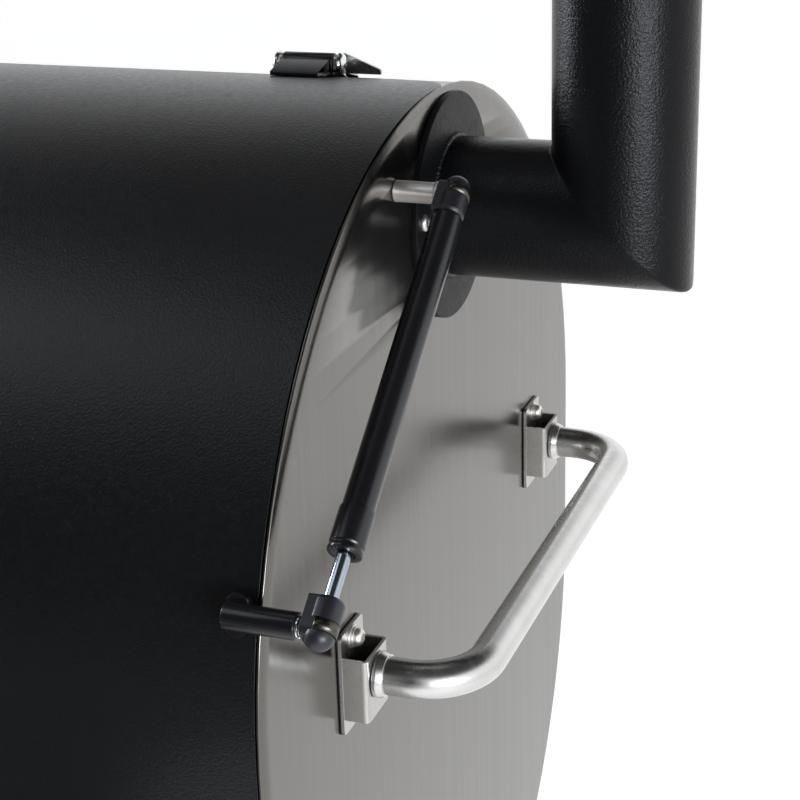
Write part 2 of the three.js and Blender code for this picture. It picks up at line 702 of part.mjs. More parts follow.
function boltHead(y) {
  const z = SIDE_HANDLE.z + BRACKET_BOLT.z;
  const from = BRACKET.sheet + 2 * GAP;
  const { radius, length } = BRACKET_BOLT;
  const profile = [
    [0, 0],
    [radius, 0],
    [radius, length * 0.3],
    [radius * 0.75, length * 0.8],
    [0, length],
  ];
  return turned(profile, [from, y, z], X, 12);
}

armY.forEach((y, side) => {
  const end = side === 0 ? "front" : "rear";
  piece("side_handle_bracket_" + end, sideBracket(y), stainless);
  piece("side_handle_collar_" + end, collar(y), stainless);
  piece("side_handle_bolt_" + end, boltHead(y), stainless);
});

// ---------------------------------------------------------------- inside the chamber

// Cast grate: a border with slots from front to rear on each side of a middle bar.
function castGrate([x0, x1], halfWidth, z, thick, slots, border, bar) {
  const pitch = (x1 - x0 - 2 * border + bar) / slots;
  const openings = [];
  for (let i = 0; i < slots; i++) {
    const from = x0 + border + i * pitch;
    for (const side of [-1, 1]) {
      const span = [side * (bar / 2), side * (halfWidth - border)];
      openings.push(block([from, from + pitch - bar], span, [z - 1, z + thick + 1]));
    }
  }
  return cut(block([x0, x1], [-halfWidth, halfWidth], [z, z + thick]), ...openings);
}

const grateSpans = {
  left: [CHAMBER.left + GRATE.gapToCap, chamberMiddle - GRATE.between / 2],
  right: [chamberMiddle + GRATE.between / 2, CHAMBER.right - GRATE.gapToCap],
};
for (const [side, span] of Object.entries(grateSpans)) {
  const { z, thick, halfWidth, slots, border, bar } = GRATE;
  piece("cooking_grate_" + side, castGrate(span, halfWidth, z, thick, slots, border, bar), castIron);
}

// Angle rail on the chamber's straight wall, under the grates.
function grateRail(side) {
  const wall = side * (CHAMBER.radius - CHAMBER.sheet - GAP);
  const top = GRATE.z - GAP;
  const { leg, sheet } = RAIL;
  const angle = outline([
    [wall, top],
    [wall - side * leg, top],
    [wall - side * leg, top - sheet],
    [wall - side * sheet, top - sheet],
    [wall - side * sheet, top - leg],
    [wall, top - leg],
  ]);
  const inset = CHAMBER.capDepth + 2;
  return alongX(angle, CHAMBER.left + inset, CHAMBER.right - inset);
}
piece("grate_rail_front", grateRail(-1), galvanised);
piece("grate_rail_rear", grateRail(1), galvanised);

// ---------------------------------------------------------------- grease tray under the drain

const trayTop = chamberBottom - GAP;

function greaseHolder() {
  const { x, halfWidth, halfLength, height, sheet, drainR } = GREASE;
  const { side, below, ledge } = GREASE_HOLDER;
  const w = halfWidth + side + sheet;
  const low = trayTop - height - below;
  const half = (turn) => [
    [x + turn * w, trayTop],
    [x + turn * w, low],
    [x + turn * (w - ledge), low],
    [x + turn * (w - ledge), low + sheet],
    [x + turn * (w - sheet), low + sheet],
    [x + turn * (w - sheet), trayTop - sheet],
  ];
  const channel = outline([...half(-1), ...half(1).reverse()]);
  const hole = rod([x, 0, trayTop - 10], [x, 0, trayTop + 5], drainR, 12);
  return cut(alongY(channel, -halfLength, halfLength), hole);
}

function openTray([x0, x1], [y0, y1], [z0, z1], sheet) {
  const inside = block([x0 + sheet, x1 - sheet], [y0 + sheet, y1 - sheet], [z0 + sheet, z1 + 1]);
  return cut(block([x0, x1], [y0, y1], [z0, z1]), inside);
}

function greaseTray() {
  const { x, halfWidth, halfLength, height, sheet } = GREASE;
  const low = trayTop - height - GREASE_HOLDER.below + sheet + GAP;
  const top = low + height;
  const tray = openTray([x - halfWidth, x + halfWidth], [-halfLength, halfLength], [low, top], sheet);
  const pull = block([x - 25, x + 25], [-halfLength - 16, -halfLength + 1], [top - 6, top - 3]);
  return join(tray, pull);
}
piece("grease_tray_holder", greaseHolder(), galvanised);
piece("grease_tray", greaseTray(), galvanised);

// ---------------------------------------------------------------- firebox

const fireboxPivotZ = pivotZ(FIREBOX, FIREBOX_LID);

// A rod on the firebox's hinge line.
const onFireHinge = (from, to, radius, sides) =>
  rod(
    [from, FIREBOX_LID.pivotY, fireboxPivotZ],
    [to, FIREBOX_LID.pivotY, fireboxPivotZ],
    radius,
    sides,
  );

// Short bored tube on the firebox's hinge line, on a web that reaches the sheet below it.
function hingeLug(x, length, web) {
  const ends = [x - length / 2, x + length / 2];
  const tube = onFireHinge(...ends, FIRE_HINGE.radius, 16);
  const bore = onFireHinge(x - THROUGH, x + THROUGH, FIRE_HINGE.pinR + RUN, 12);
  return cut(join(tube, alongX(outline(web), ...ends)), bore);
}

const onFirebox = (y, lift) => [y, topZ(FIREBOX, FIREBOX.radius, y) + lift];
const fixedWeb = [
  onFirebox(FIREBOX_LID.pivotY - 3, -0.9),
  onFirebox(56, -0.9),
  onFirebox(56, 2),
  [FIREBOX_LID.pivotY + 3, fireboxPivotZ + 4],
  [FIREBOX_LID.pivotY - 3, fireboxPivotZ],
];
const movingWeb = [
  onFirebox(14, -0.9),
  onFirebox(FIREBOX_LID.rearY - 1, -0.9),
  onFirebox(FIREBOX_LID.rearY + 2, 1.4),
  [FIREBOX_LID.pivotY - 2, fireboxPivotZ - 4.5],
  [FIREBOX_LID.pivotY - 2, fireboxPivotZ + 4.5],
  onFirebox(14, 3),
];

const fixedLugs = FIRE_HINGE.lugs.map((x) => hingeLug(x, FIRE_HINGE.lug, fixedWeb));
const movingLugs = FIRE_HINGE.knuckles.map((x) => hingeLug(x, FIRE_HINGE.knuckle, movingWeb));
piece("firebox_shell", join(drumShell(FIREBOX, FIREBOX_LID), ...fixedLugs), powderCoat);
piece("firebox_lid", join(drumLid(FIREBOX, FIREBOX_LID), ...movingLugs), powderCoat);
piece(
  "firebox_hinge_rod",
  onFireHinge(FIREBOX.right - 44.7, FIREBOX.left + 45.3, FIRE_HINGE.pinR, 12),
  stainless,
);
piece("firebox_cap_inner", cut(endCap(FIREBOX, FIREBOX.right, -1, FIREBOX_LID), throat), stainless);

const doorX = FIREBOX.left - DOOR.hingeOut;
const doorMiddle = (DOOR.bottom + DOOR.top) / 2;

// A rod on the door's upright hinge line, from and to heights over the door's middle.
const onDoorHinge = (from, to, radius, sides) =>
  rod(
    [doorX, DOOR.hingeY, doorMiddle + from],
    [doorX, DOOR.hingeY, doorMiddle + to],
    radius,
    sides,
  );

// Outer end cap, with the fuel opening, the ash slot, two hinge lugs and their pin.
function fireboxOuterCap() {
  const face = FIREBOX.left;
  const fuel = alongX(
    roundedRectangle(DOOR_OPENING.halfWidth, DOOR_OPENING.bottom, DOOR_OPENING.top, 20),
    face - 5,
    face + 10,
    CORNER_ARC,
  );
  const { halfWidth, bottom, top } = ASH_TRAY;
  const ash = alongX(
    sharpRectangle(halfWidth + ASH_SLOT_GAP, bottom - ASH_SLOT_GAP, top + ASH_SLOT_GAP),
    face - 5,
    face + 10,
  );
  const { radius, pinR, pinHalf, lug, lugHalf } = DOOR_HINGE;
  const lugs = DOOR_HINGE.lugs.flatMap((low) => [
    onDoorHinge(low, low + lug, radius, 16),
    block(
      [doorX, face + 1],
      [DOOR.hingeY - lugHalf, DOOR.hingeY + lugHalf],
      [doorMiddle + low, doorMiddle + low + lug],
    ),
  ]);
  const pin = onDoorHinge(-pinHalf, pinHalf, pinR, 12);
  return join(cut(endCap(FIREBOX, face, 1, FIREBOX_LID), fuel, ash), ...lugs, pin);
}
piece("firebox_cap_outer", fireboxOuterCap(), powderCoat);

// Vent holes, three on a circle, turned by `phase`.
function vents(phase, from, to) {
  return [0, 1, 2].map((i) => {
    const angle = phase + (i * 2 * Math.PI) / 3;
    const y = DAMPER.ring * Math.cos(angle);
    const z = DAMPER.z + DAMPER.ring * Math.sin(angle);
    return rod([from, y, z], [to, y, z], DAMPER.holeR, 16);
  });
}

function fireboxDoor() {
  const inner = FIREBOX.left - GAP;
  const outer = inner - DOOR.sheet;
  const middleY = (DOOR.rearY + DOOR.frontY) / 2;
  const panel = alongX(
    roundedRectangle((DOOR.rearY - DOOR.frontY) / 2, DOOR.bottom, DOOR.top, 22),
    outer,
    inner,
    CORNER_ARC,
  );
  const { radius, pinR, knuckleHalf } = DOOR_HINGE;
  const leaf = block(
    [outer - 3, outer + 1],
    [100, DOOR.hingeY - 4],
    [doorMiddle - knuckleHalf + 1, doorMiddle + knuckleHalf - 1],
  );
  const knuckle = onDoorHinge(-knuckleHalf, knuckleHalf, radius, 16);
  const bore = onDoorHinge(-THROUGH - 30, THROUGH + 30, pinR + RUN, 12);
  const stud = rod([outer + 1, middleY, DAMPER.z], [outer - 9, middleY, DAMPER.z], DAMPER.studR, 12);
  return join(cut(join(panel, leaf, knuckle), bore, ...vents(0, outer - 5, inner + 5)), stud);
}

function airDamper() {
  const inner = FIREBOX.left - DOOR.sheet - 2 * GAP;
  const outer = inner - DAMPER.sheet;
  const rim = DAMPER.z + DAMPER.radius;
  const disc = rod([inner, 0, DAMPER.z], [outer, 0, DAMPER.z], DAMPER.radius, 32);
  const tab = join(
    block([outer, inner], [-7, 7], [rim - 4, rim + 14]),
    block([outer - 12, inner], [-7, 7], [rim + 12, rim + 14]),
  );
  const centre = rod([inner + 5, 0, DAMPER.z], [outer - 5, 0, DAMPER.z], DAMPER.studR + RUN, 12);
  return cut(join(disc, tab), centre, ...vents(Math.PI / 3, inner + 5, outer - 5));
}
piece("firebox_door", fireboxDoor(), powderCoat);
piece("air_damper", airDamper(), stainless);

// Two posts and a grip, for the fuel door and for the firebox lid.
function barHandle(middle, along, out, halfLength, post, radius) {
  const at = (slide, lift) =>
    middle.clone().addScaledVector(along, slide).addScaledVector(out, lift).toArray();
  const posts = [-1, 1].map((side) =>
    rod(at(side * (halfLength - 12), 0), at(side * (halfLength - 12), post), radius * 0.6, 12),
  );
  return join(rod(at(-halfLength, post), at(halfLength, post), radius, 16), ...posts);
}
piece(
  "firebox_door_handle",
  barHandle(
    new THREE.Vector3(FIREBOX.left - DOOR.sheet - 2 * GAP, -112, doorMiddle),
    Z,
    X.clone().negate(),
    65,
    42,
    9,
  ),
  stainless,
);
piece(
  "firebox_lid_handle",
  barHandle(
    new THREE.Vector3(fireMiddle, -FIREBOX.radius - GAP, FIREBOX.axisZ - 12),
    X,
    Y.clone().negate(),
    110,
    48,
    10,
  ),
  stainless,
);

const fireGrateSpan = [fireMiddle - FIRE_GRATE.length / 2, fireMiddle + FIRE_GRATE.length / 2];
piece(
  "charcoal_grate",
  castGrate(fireGrateSpan, FIRE_GRATE.halfWidth, FIRE_GRATE.z, FIRE_GRATE.thick, FIRE_GRATE.slots, 14, 16),
  castIron,
);

function ashTray() {
  const { halfWidth, bottom, top, sheet, length, panel } = ASH_TRAY;
  const face = FIREBOX.left - GAP;
  const tray = openTray([face - 1, face + length], [-halfWidth, halfWidth], [bottom, top], sheet);
  const front = block([face - panel, face], [-halfWidth - 14, halfWidth + 14], [bottom - 11, top + 11]);
  const pull = block([face - panel - 20, face], [-40, 40], [top - 8, top - 5]);
  return join(tray, front, pull);
}
piece("ash_tray", ashTray(), galvanised);

// ---------------------------------------------------------------- cart

// Square tube from `bottom` up to the chamber's rounded underside.
function leg(x, y, bottom) {
  const top = -CHAMBER.drop - 120;
  const post = (half) => block([x - half, x + half], [y - half, y + half], [bottom, top]);
  const drumRoom = alongX(oval(CHAMBER, CHAMBER.radius + 1), CHAMBER.left, CHAMBER.right);
  return cut(post(LEG.size / 2), post(LEG.size / 2 - LEG.wall), drumRoom);
}

const axleZ = GROUND + WHEEL.radius;
const axleRoom = rod([LEG.leftX, -400, axleZ], [LEG.leftX, 400, axleZ], WHEEL.axleR + RUN, 16);

function wheel(y) {
  const { radius, width, axleR } = WHEEL;
  const half = width / 2;
  const bore = axleR + RUN;
  const profile = [
    [bore, -half],
    [32, -half],
    [32, -half + 10],
    [radius - 22, -half + 10],
    [radius - 22, -half],
    [radius, -half],
    [radius, half],
    [radius - 22, half],
    [radius - 22, half - 10],
    [32, half - 10],
    [32, half],
    [bore, half],
    [bore, -half],
  ];
  return turned(profile, [LEG.leftX, y, axleZ], Y, 24);
}

function foot(y) {
  const { radius, height } = FOOT;
  const profile = [
    [0, 0],
    [radius, 0],
    [radius, 7],
    [radius - 6, 12],
    [9, 14],
    [9, height - 5],
    [radius - 5, height - 5],
    [radius - 5, height],
    [0, height],
  ];
  return turned(profile, [LEG.rightX, y, GROUND], Z, 20);
}

for (const [end, side] of [
  ["front", -1],
  ["rear", 1],
]) {
  piece("leg_right_" + end, leg(LEG.rightX, side * LEG.y, GROUND + FOOT.height + GAP), powderCoat);
  piece("leg_left_" + end, cut(leg(LEG.leftX, side * LEG.y, axleZ - 26), axleRoom), powderCoat);
  piece("foot_" + end, foot(side * LEG.y), blackPlastic);
  piece("wheel_" + end, wheel(side * WHEEL.y), rubber);
}

function axle() {
  const end = WHEEL.y + WHEEL.width / 2 + 1;
  const { axleR } = WHEEL;
  const profile = [
    [0, -end - 6],
    [14, -end - 6],
    [14, -end],
    [axleR, -end],
    [axleR, end],
    [14, end],
    [14, end + 6],
    [0, end + 6],
  ];
  return turned(profile, [LEG.leftX, 0, axleZ], Y, 16);
}
piece("axle", axle(), stainless);

// Folded pan with its rim turned down, between the four legs.
function bottomShelf() {
  const { z, sheet, rim, overhang } = BOTTOM_SHELF;
  const halfWidth = LEG.y - LEG.size / 2 - GAP;
  const ends = [LEG.leftX - overhang, LEG.rightX + overhang];
  const pan = block(ends, [-halfWidth, halfWidth], [z - rim, z]);
  const under = block(
    [ends[0] + sheet, ends[1] - sheet],
    [-halfWidth + sheet, halfWidth - sheet],
    [z - rim - 1, z - sheet],
  );
  return cut(pan, under);
}
piece("bottom_shelf", bottomShelf(), powderCoat);

// Folded shelf on the chamber's front wall, with a gusset under each end.
function frontShelf() {
  const { left, right, z, depth, lip, sheet, gusset } = FRONT_SHELF;
  const back = -CHAMBER.radius - GAP;
  const front = back - depth;
  const fold = outline([
    [back, z],
    [front, z],
    [front, z - lip],
    [front + sheet, z - lip],
    [front + sheet, z - sheet],
    [back - sheet, z - sheet],
    [back - sheet, z - 30],
    [back, z - 30],
  ]);
  const web = outline([
    [back, z - 1],
    [front + 1, z - 1],
    [front + 1, z - lip],
    [back - 14, z - gusset],
    [back, z - gusset],
  ]);
  return join(
    alongX(fold, left, right),
    alongX(web, left, left + sheet),
    alongX(web, right - sheet, right),
  );
}
piece("front_shelf", frontShelf(), stainless);

// ---------------------------------------------------------------- stand the group on the ground

const bounds = new THREE.Box3().setFromObject(smoker);
const middle = bounds.getCenter(new THREE.Vector3());
smoker.position.set(-middle.x, -middle.y, -bounds.min.z);

export default smoker;
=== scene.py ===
"""Looks of the offset smoker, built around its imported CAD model.

Shapes are written in millimetres from the chamber's axis and the right end cap's outer face, the
same frame as the part's own source, and build() turns them into metres in the row frame.
"""

import json
from math import acos, atan2, cos, degrees, pi, radians, sin, sqrt, tan
from types import SimpleNamespace as Sizes

import bpy
from mathutils import Matrix, Vector
from mathutils.geometry import tessellate_polygon


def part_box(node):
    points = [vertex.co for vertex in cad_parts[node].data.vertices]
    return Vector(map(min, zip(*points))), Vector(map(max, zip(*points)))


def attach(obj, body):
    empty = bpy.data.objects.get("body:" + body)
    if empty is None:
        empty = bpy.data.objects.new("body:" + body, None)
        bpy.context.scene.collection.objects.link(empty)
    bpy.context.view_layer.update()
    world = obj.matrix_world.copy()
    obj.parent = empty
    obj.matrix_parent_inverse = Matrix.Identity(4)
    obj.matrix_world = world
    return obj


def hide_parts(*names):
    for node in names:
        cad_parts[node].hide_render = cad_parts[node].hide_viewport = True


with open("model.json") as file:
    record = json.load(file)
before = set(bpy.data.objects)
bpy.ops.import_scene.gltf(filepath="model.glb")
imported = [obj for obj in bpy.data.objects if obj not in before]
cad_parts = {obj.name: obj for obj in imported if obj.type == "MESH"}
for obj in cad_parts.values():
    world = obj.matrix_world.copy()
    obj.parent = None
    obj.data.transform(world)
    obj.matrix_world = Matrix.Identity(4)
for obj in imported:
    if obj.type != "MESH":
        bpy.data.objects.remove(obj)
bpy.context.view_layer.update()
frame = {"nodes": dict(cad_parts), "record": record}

MM = 0.001
NODES = frame["nodes"]
RECORD = frame["record"]
BODY_OF = {node: body for body, members in RECORD["behaviour"]["bodies"].items() for node in members}

cap_low, cap_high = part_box("end_cap_right")
CAP_RADIUS = (cap_high.y - cap_low.y) / 2 / MM
DATUM = Vector((cap_high.x, (cap_low.y + cap_high.y) / 2, cap_high.z - CAP_RADIUS * MM))
TO_ROW = Matrix.Translation(DATUM) @ Matrix.Scale(MM, 4)


def span(node):
    """The lowest and highest corner of a CAD node, in the millimetre frame."""
    low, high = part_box(node)
    return (low - DATUM) / MM, (high - DATUM) / MM


def middle(node):
    """The middle of a CAD node's box, in the same frame."""
    low, high = span(node)
    return (low + high) / 2


X, Y, Z = Vector((1, 0, 0)), Vector((0, 1, 0)), Vector((0, 0, 1))

# ---- dimensions, millimetres

CHAMBER = Sizes(left=-900.0, right=0.0, radius=305.0, drop=130.0, axis=0.0, cap=50.0)
FIREBOX = Sizes(left=-1330.3, right=-900.3, radius=200.0, drop=100.0, axis=-175.0, cap=40.0)
SHEET = 2.0
CAP_INSET = 3.0
CAP_SHEET = 2.5
CAP_LIP = Sizes(out=1.0, depth=4.0)  # a cap's face stands out past the sheets by this much
CAP_RIM = 8.5  # the gentle fall of the face towards the lip
CAP_CROWN = 1.4
CAP_EDGE = 1.0
LAP = 4.0
SEAM = 4.0
LID = Sizes(rear=50.0, front=60.0, corner=42.0, gap=4.5, pivot_y=62.0, pivot_r=313.2)
FIRE_LID = Sizes(rear=30.0, front=30.0, corner=20.0, gap=4.5, pivot_y=40.0, pivot_r=207.0)
GAP = 0.35

# ---- materials


class Nodes:
    """Short ways to add nodes to a shader tree."""

    def __init__(self, tree):
        self.tree = tree
        self.link = tree.links.new

    def node(self, kind, **values):
        made = self.tree.nodes.new(kind)
        for key, value in values.items():
            if key in made.inputs:
                made.inputs[key].default_value = value
            else:
                setattr(made, key, value)
        return made

    def spread(self, value, low, high, start=0.3, end=0.7, smooth=False):
        """A value between start and end, as a number between low and high."""
        ramp = self.node("ShaderNodeMapRange")
        if smooth:
            ramp.interpolation_type = "SMOOTHSTEP"
        for socket, number in zip(("From Min", "From Max", "To Min", "To Max"), (start, end, low, high)):
            ramp.inputs[socket].default_value = number
        self.link(value, ramp.inputs["Value"])
        return ramp.outputs["Result"]

    def dot(self, vector, direction):
        made = self.node("ShaderNodeVectorMath", operation="DOT_PRODUCT")
        self.link(vector, made.inputs[0])
        made.inputs[1].default_value = direction
        return made.outputs["Value"]

    def math(self, operation, *values):
        made = self.node("ShaderNodeMath", operation=operation)
        for socket, value in zip(made.inputs, values):
            if isinstance(value, float):
                socket.default_value = value
            else:
                self.link(value, socket)
        return made.outputs[0]


class Finish(Nodes):
    """A Principled material with helpers that add grain to it."""

    def __init__(self, name, color, roughness, metallic=0.0, **sockets):
        self.material = bpy.data.materials.new(name)
        self.material.use_nodes = True
        super().__init__(self.material.node_tree)
        self.shader = self.tree.nodes["Principled BSDF"].inputs
        self.shader["Base Color"].default_value = (*color, 1)
        self.shader["Roughness"].default_value = roughness
        self.shader["Metallic"].default_value = metallic
        for socket, value in sockets.items():
            self.shader[socket.replace("_", " ")].default_value = value
        self.color = color
        self.normal = None

    def place(self, stretch=(1, 1, 1)):
        mapping = self.node("ShaderNodeMapping", Scale=stretch)
        self.link(self.node("ShaderNodeTexCoord").outputs["Object"], mapping.inputs["Vector"])
        return mapping.outputs["Vector"]

    def noise(self, scale, detail=2.0, stretch=(1, 1, 1)):
        texture = self.node("ShaderNodeTexNoise", Scale=scale, Detail=detail, Roughness=0.5)
        self.link(self.place(stretch), texture.inputs["Vector"])
        return texture.outputs["Fac"]

    def bump(self, height, depth):
        made = self.node("ShaderNodeBump", Strength=1.0, Distance=depth)
        self.link(height, made.inputs["Height"])
        if self.normal:
            self.link(self.normal, made.inputs["Normal"])
        self.normal = made.outputs["Normal"]
        self.link(self.normal, self.shader["Normal"])
        return self

    def vary_roughness(self, value, low, high):
        self.link(self.spread(value, low, high), self.shader["Roughness"])

    def vary_color(self, value, darker, lighter):
        mix = self.node("ShaderNodeMix", data_type="RGBA")
        wanted = (("A", "RGBA"), ("B", "RGBA"), ("Factor", "VALUE"))
        sockets = {s.name: s for s in mix.inputs if (s.name, s.type) in wanted}
        for socket, factor in (("A", darker), ("B", lighter)):
            sockets[socket].default_value = (*[channel * factor for channel in self.color], 1)
        self.link(self.spread(value, 0, 1), sockets["Factor"])
        result = [s for s in mix.outputs if s.type == "RGBA"][0]
        self.link(result, self.shader["Base Color"])


def finish(name, color, rough, tone, bumps, metallic=0.0, stretch=(1, 1, 1), **sockets):
    """A noisy material. rough and tone are (scale, detail, low, high), bumps (scale, detail, depth)."""
    made = Finish(name, color, rough[2], metallic, **sockets)
    made.vary_roughness(made.noise(*rough[:2], stretch), *rough[2:])
    made.vary_color(made.noise(*tone[:2], stretch), *tone[2:])
    for scale, detail, depth in bumps:
        made.bump(made.noise(scale, detail, stretch), depth)
    return made.material


def powder_coat(name, grain, depth, low, high, specular):
    """Black textured coat: rounded pebbles over a finer grain."""
    bumps = [(grain, 3.0, depth), (grain * 3.1, 1.0, depth * 0.25)]
    rough, tone = (grain * 0.35, 2.0, low, high), (9.0, 3.0, 0.85, 1.2)
    return finish(name, (0.0038, 0.004, 0.0046), rough, tone, bumps, Specular_IOR_Level=specular)


def brushed(name, color, low, high, stretch, depth=0.00002, grain=900.0):
    """Steel with fine scratches that run along the axis stretched least."""
    rough, tone = (grain * 0.25, 3.0, low, high), (grain * 0.4, 2.0, 0.96, 1.035)
    return finish(name, color, rough, tone, [(grain, 2.0, depth)], 1.0, stretch)


def plain_metal(name, color, low, high):
    rough, tone = (140.0, 4.0, low, high), (30.0, 3.0, 0.95, 1.04)
    return finish(name, color, rough, tone, [(700.0, 2.0, 0.00001)], 1.0)


def plastic(name, color, roughness, grain=1500.0, depth=0.00005):
    rough = (120.0, 3.0, roughness * 0.9, roughness * 1.15)
    return finish(name, color, rough, (40.0, 3.0, 0.9, 1.15), [(grain, 3.0, depth)])


def galvanised():
    zinc = Finish("galvanised", (0.42, 0.43, 0.44), 0.42, 1.0)
    cells = zinc.node("ShaderNodeTexVoronoi", Scale=90.0)
    zinc.link(zinc.place(), cells.inputs["Vector"])
    zinc.vary_roughness(cells.outputs["Distance"], 0.34, 0.5)
    zinc.vary_color(cells.outputs["Distance"], 0.85, 1.12)
    return zinc.bump(zinc.noise(500.0, 3.0), 0.00004).material


COAT = powder_coat("powder_coat_fine", 700.0, 0.00028, 0.28, 0.35, 0.36)
COARSE_COAT = powder_coat("powder_coat_coarse", 640.0, 0.00034, 0.17, 0.24, 0.15)
CAP_STEEL = brushed("brushed_upright", (0.162, 0.155, 0.143), 0.2, 0.25, (1, 1, 0.012), 0.000006, 700.0)
SHELF_STEEL = brushed("brushed_lengthwise", (0.46, 0.45, 0.43), 0.24, 0.32, (0.012, 1, 1))
BRACKET_STEEL = brushed("bracket_steel", (0.5, 0.485, 0.46), 0.26, 0.36, (1, 1, 0.4), 0.00008, 1600.0)
TUBE_STEEL = plain_metal("polished_stainless", (0.66, 0.65, 0.635), 0.22, 0.3)
SATIN_STEEL = plain_metal("satin_stainless", (0.84, 0.8, 0.76), 0.36, 0.46)
ROD_STEEL = plain_metal("hard_chromed_rod", (0.4, 0.45, 0.52), 0.1, 0.16)
CHROME = plain_metal("chrome", (0.78, 0.78, 0.79), 0.05, 0.1)
CLIP_STEEL = plain_metal("clip_steel", (0.1, 0.095, 0.078), 0.24, 0.36)
FLANGE_COAT = powder_coat("powder_coat_flange", 620.0, 0.00022, 0.42, 0.5, 0.14)
GLOSS_BLACK = finish(
    "gloss_black",
    (0.006, 0.006, 0.0075),
    rough=(40.0, 3.0, 0.2, 0.3),
    tone=(30.0, 3.0, 0.9, 1.2),
    bumps=[(420.0, 3.0, 0.00004)],
)
BLACK_PLASTIC = plastic("black_composite", (0.012, 0.012, 0.016), 0.36)
CAST_IRON = finish(
    "cast_iron",
    (0.022, 0.021, 0.02),
    rough=(60.0, 4.0, 0.5, 0.75),
    tone=(24.0, 4.0, 0.7, 1.6),
    bumps=[(700.0, 4.0, 0.0006)],
    metallic=0.6,
)
GALVANISED = galvanised()
RUBBER = plastic("rubber", (0.014, 0.014, 0.014), 0.78, 900.0, 0.0002)
HUB_PLASTIC = plastic("hub_plastic", (0.03, 0.03, 0.032), 0.5)
DIAL_WHITE = plastic("dial_white", (0.78, 0.78, 0.76), 0.5)
MARK_BLACK = plastic("mark_black", (0.01, 0.01, 0.01), 0.5)
MARK_RED = plastic("mark_red", (0.5, 0.02, 0.015), 0.45)

lens = Finish("gauge_glass", (1, 1, 1), 0.03, Transmission_Weight=1.0, IOR=1.45)
GLASS = lens.bump(lens.noise(30.0, 2.0), 0.00001).material

# ---- making pieces


def add(name, data):
    made = bpy.data.objects.new(name, data)
    bpy.context.scene.collection.objects.link(made)
    return made


def build(name, shape, material, body=None, node=None, bevel=0.0, sheet=0.0, angle=32.0):
    """A piece from (points, faces) in millimetres, which replaces a CAD node or rides on a body."""
    points, faces = shape
    mesh = bpy.data.meshes.new(name)
    mesh.from_pydata([tuple(p) for p in points], [], [tuple(f) for f in faces])
    mesh.transform(TO_ROW)
    mesh.update()
    mesh.shade_smooth()
    mesh.set_sharp_from_angle(angle=radians(angle))
    mesh.materials.append(material)
    made = add(name, mesh)
    if sheet:
        thicken = made.modifiers.new("sheet", "SOLIDIFY")
        thicken.thickness = sheet * MM
        thicken.offset = -1
        thicken.use_even_offset = True
    if bevel:
        soften_edges(made, bevel)
    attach(made, body or BODY_OF[node])
    if node:
        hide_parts(node)


def soften_edges(made, width, segments=2):
    bevel = made.modifiers.new("rounded_edges", "BEVEL")
    bevel.width = width * MM
    bevel.segments = segments
    bevel.limit_method = "ANGLE"
    bevel.angle_limit = radians(32)
    bevel.harden_normals = True
    bevel.use_clamp_overlap = True


def dress(node, material, bevel=0.6):
    """A CAD node that keeps its shape, with its edges rounded and a better material."""
    made = NODES[node]
    made.data.materials.clear()
    made.data.materials.append(material)
    weld = made.modifiers.new("weld", "WELD")
    weld.merge_threshold = 0.00001
    soften_edges(made, bevel)
    made.data.shade_smooth()


def merge(*shapes):
    points, faces = [], []
    for more_points, more_faces in shapes:
        start = len(points)
        points += more_points
        faces += [tuple(i + start for i in face) for face in more_faces]
    return points, faces


def flip(shape):
    points, faces = shape
    return points, [tuple(reversed(face)) for face in faces]


def moved(shape, matrix):
    points, faces = shape
    return [matrix @ Vector(p) for p in points], faces


def grid(rows, wrap=False):
    """Quads between rows of points. Each row has the same number of points."""
    count = len(rows[0])
    points = [Vector(p) for row in rows for p in row]
    faces = []
    for r in range(len(rows) - 1):
        for c in range(count if wrap else count - 1):
            d = (c + 1) % count
            faces.append((r * count + c, r * count + d, (r + 1) * count + d, (r + 1) * count + c))
    return points, faces


def rounded(points, radius, steps=5, closed=False):
    """A 2-D outline with its corners rounded. radius is one number, or one for each point."""
    radii = [radius] * len(points) if isinstance(radius, (int, float)) else list(radius)
    made = []
    for i, here in enumerate(points):
        p = Vector(here)
        if radii[i] <= 0 or (not closed and i in (0, len(points) - 1)):
            made.append(p)
            continue
        before = Vector(points[i - 1]) - p
        after = Vector(points[(i + 1) % len(points)]) - p
        turn = before.angle(after)
        reach = min(radii[i] / tan(turn / 2), before.length * 0.49, after.length * 0.49)
        start, end = p + before.normalized() * reach, p + after.normalized() * reach
        for k in range(steps + 1):
            t = k / steps
            made.append(start * (1 - t) ** 2 + p * 2 * t * (1 - t) + end * t**2)
    return made


def lathe(profile, base, direction, sides=64, closed=False):
    """A profile of (radius, height) points turned about a line from base along direction."""
    turn = Z.rotation_difference(Vector(direction))
    base = Vector(base)
    rows = []
    for r, h in profile:
        ring = []
        for i in range(sides):
            angle = 2 * pi * i / sides
            ring.append(base + turn @ Vector((r * cos(angle), r * sin(angle), h)))
        rows.append(ring)
    if closed:
        rows.append(rows[0])
    points, faces = grid(rows, wrap=True)
    kept, place, lookup = [], {}, []
    for p in points:
        key = (round(p.x, 4), round(p.y, 4), round(p.z, 4))
        if key not in place:
            place[key] = len(kept)
            kept.append(p)
        lookup.append(place[key])
    clean = []
    for face in faces:
        corners = list(dict.fromkeys(lookup[i] for i in face))
        if len(corners) > 2:
            clean.append(tuple(corners))
    return kept, clean


def turned(corners, radii, steps, base, direction, sides=64, closed=False):
    """A lathe shape from corners of (radius, height) that are rounded first."""
    return lathe(rounded(corners, radii, steps, closed), base, direction, sides, closed)


def rod(start, end, radius, edge=0.6, sides=40):
    """A round bar with rounded edges."""
    start, end = Vector(start), Vector(end)
    length = (end - start).length
    corners = [(0, 0), (radius, 0), (radius, length), (0, length)]
    return turned(corners, edge, 3, start, end - start, sides)


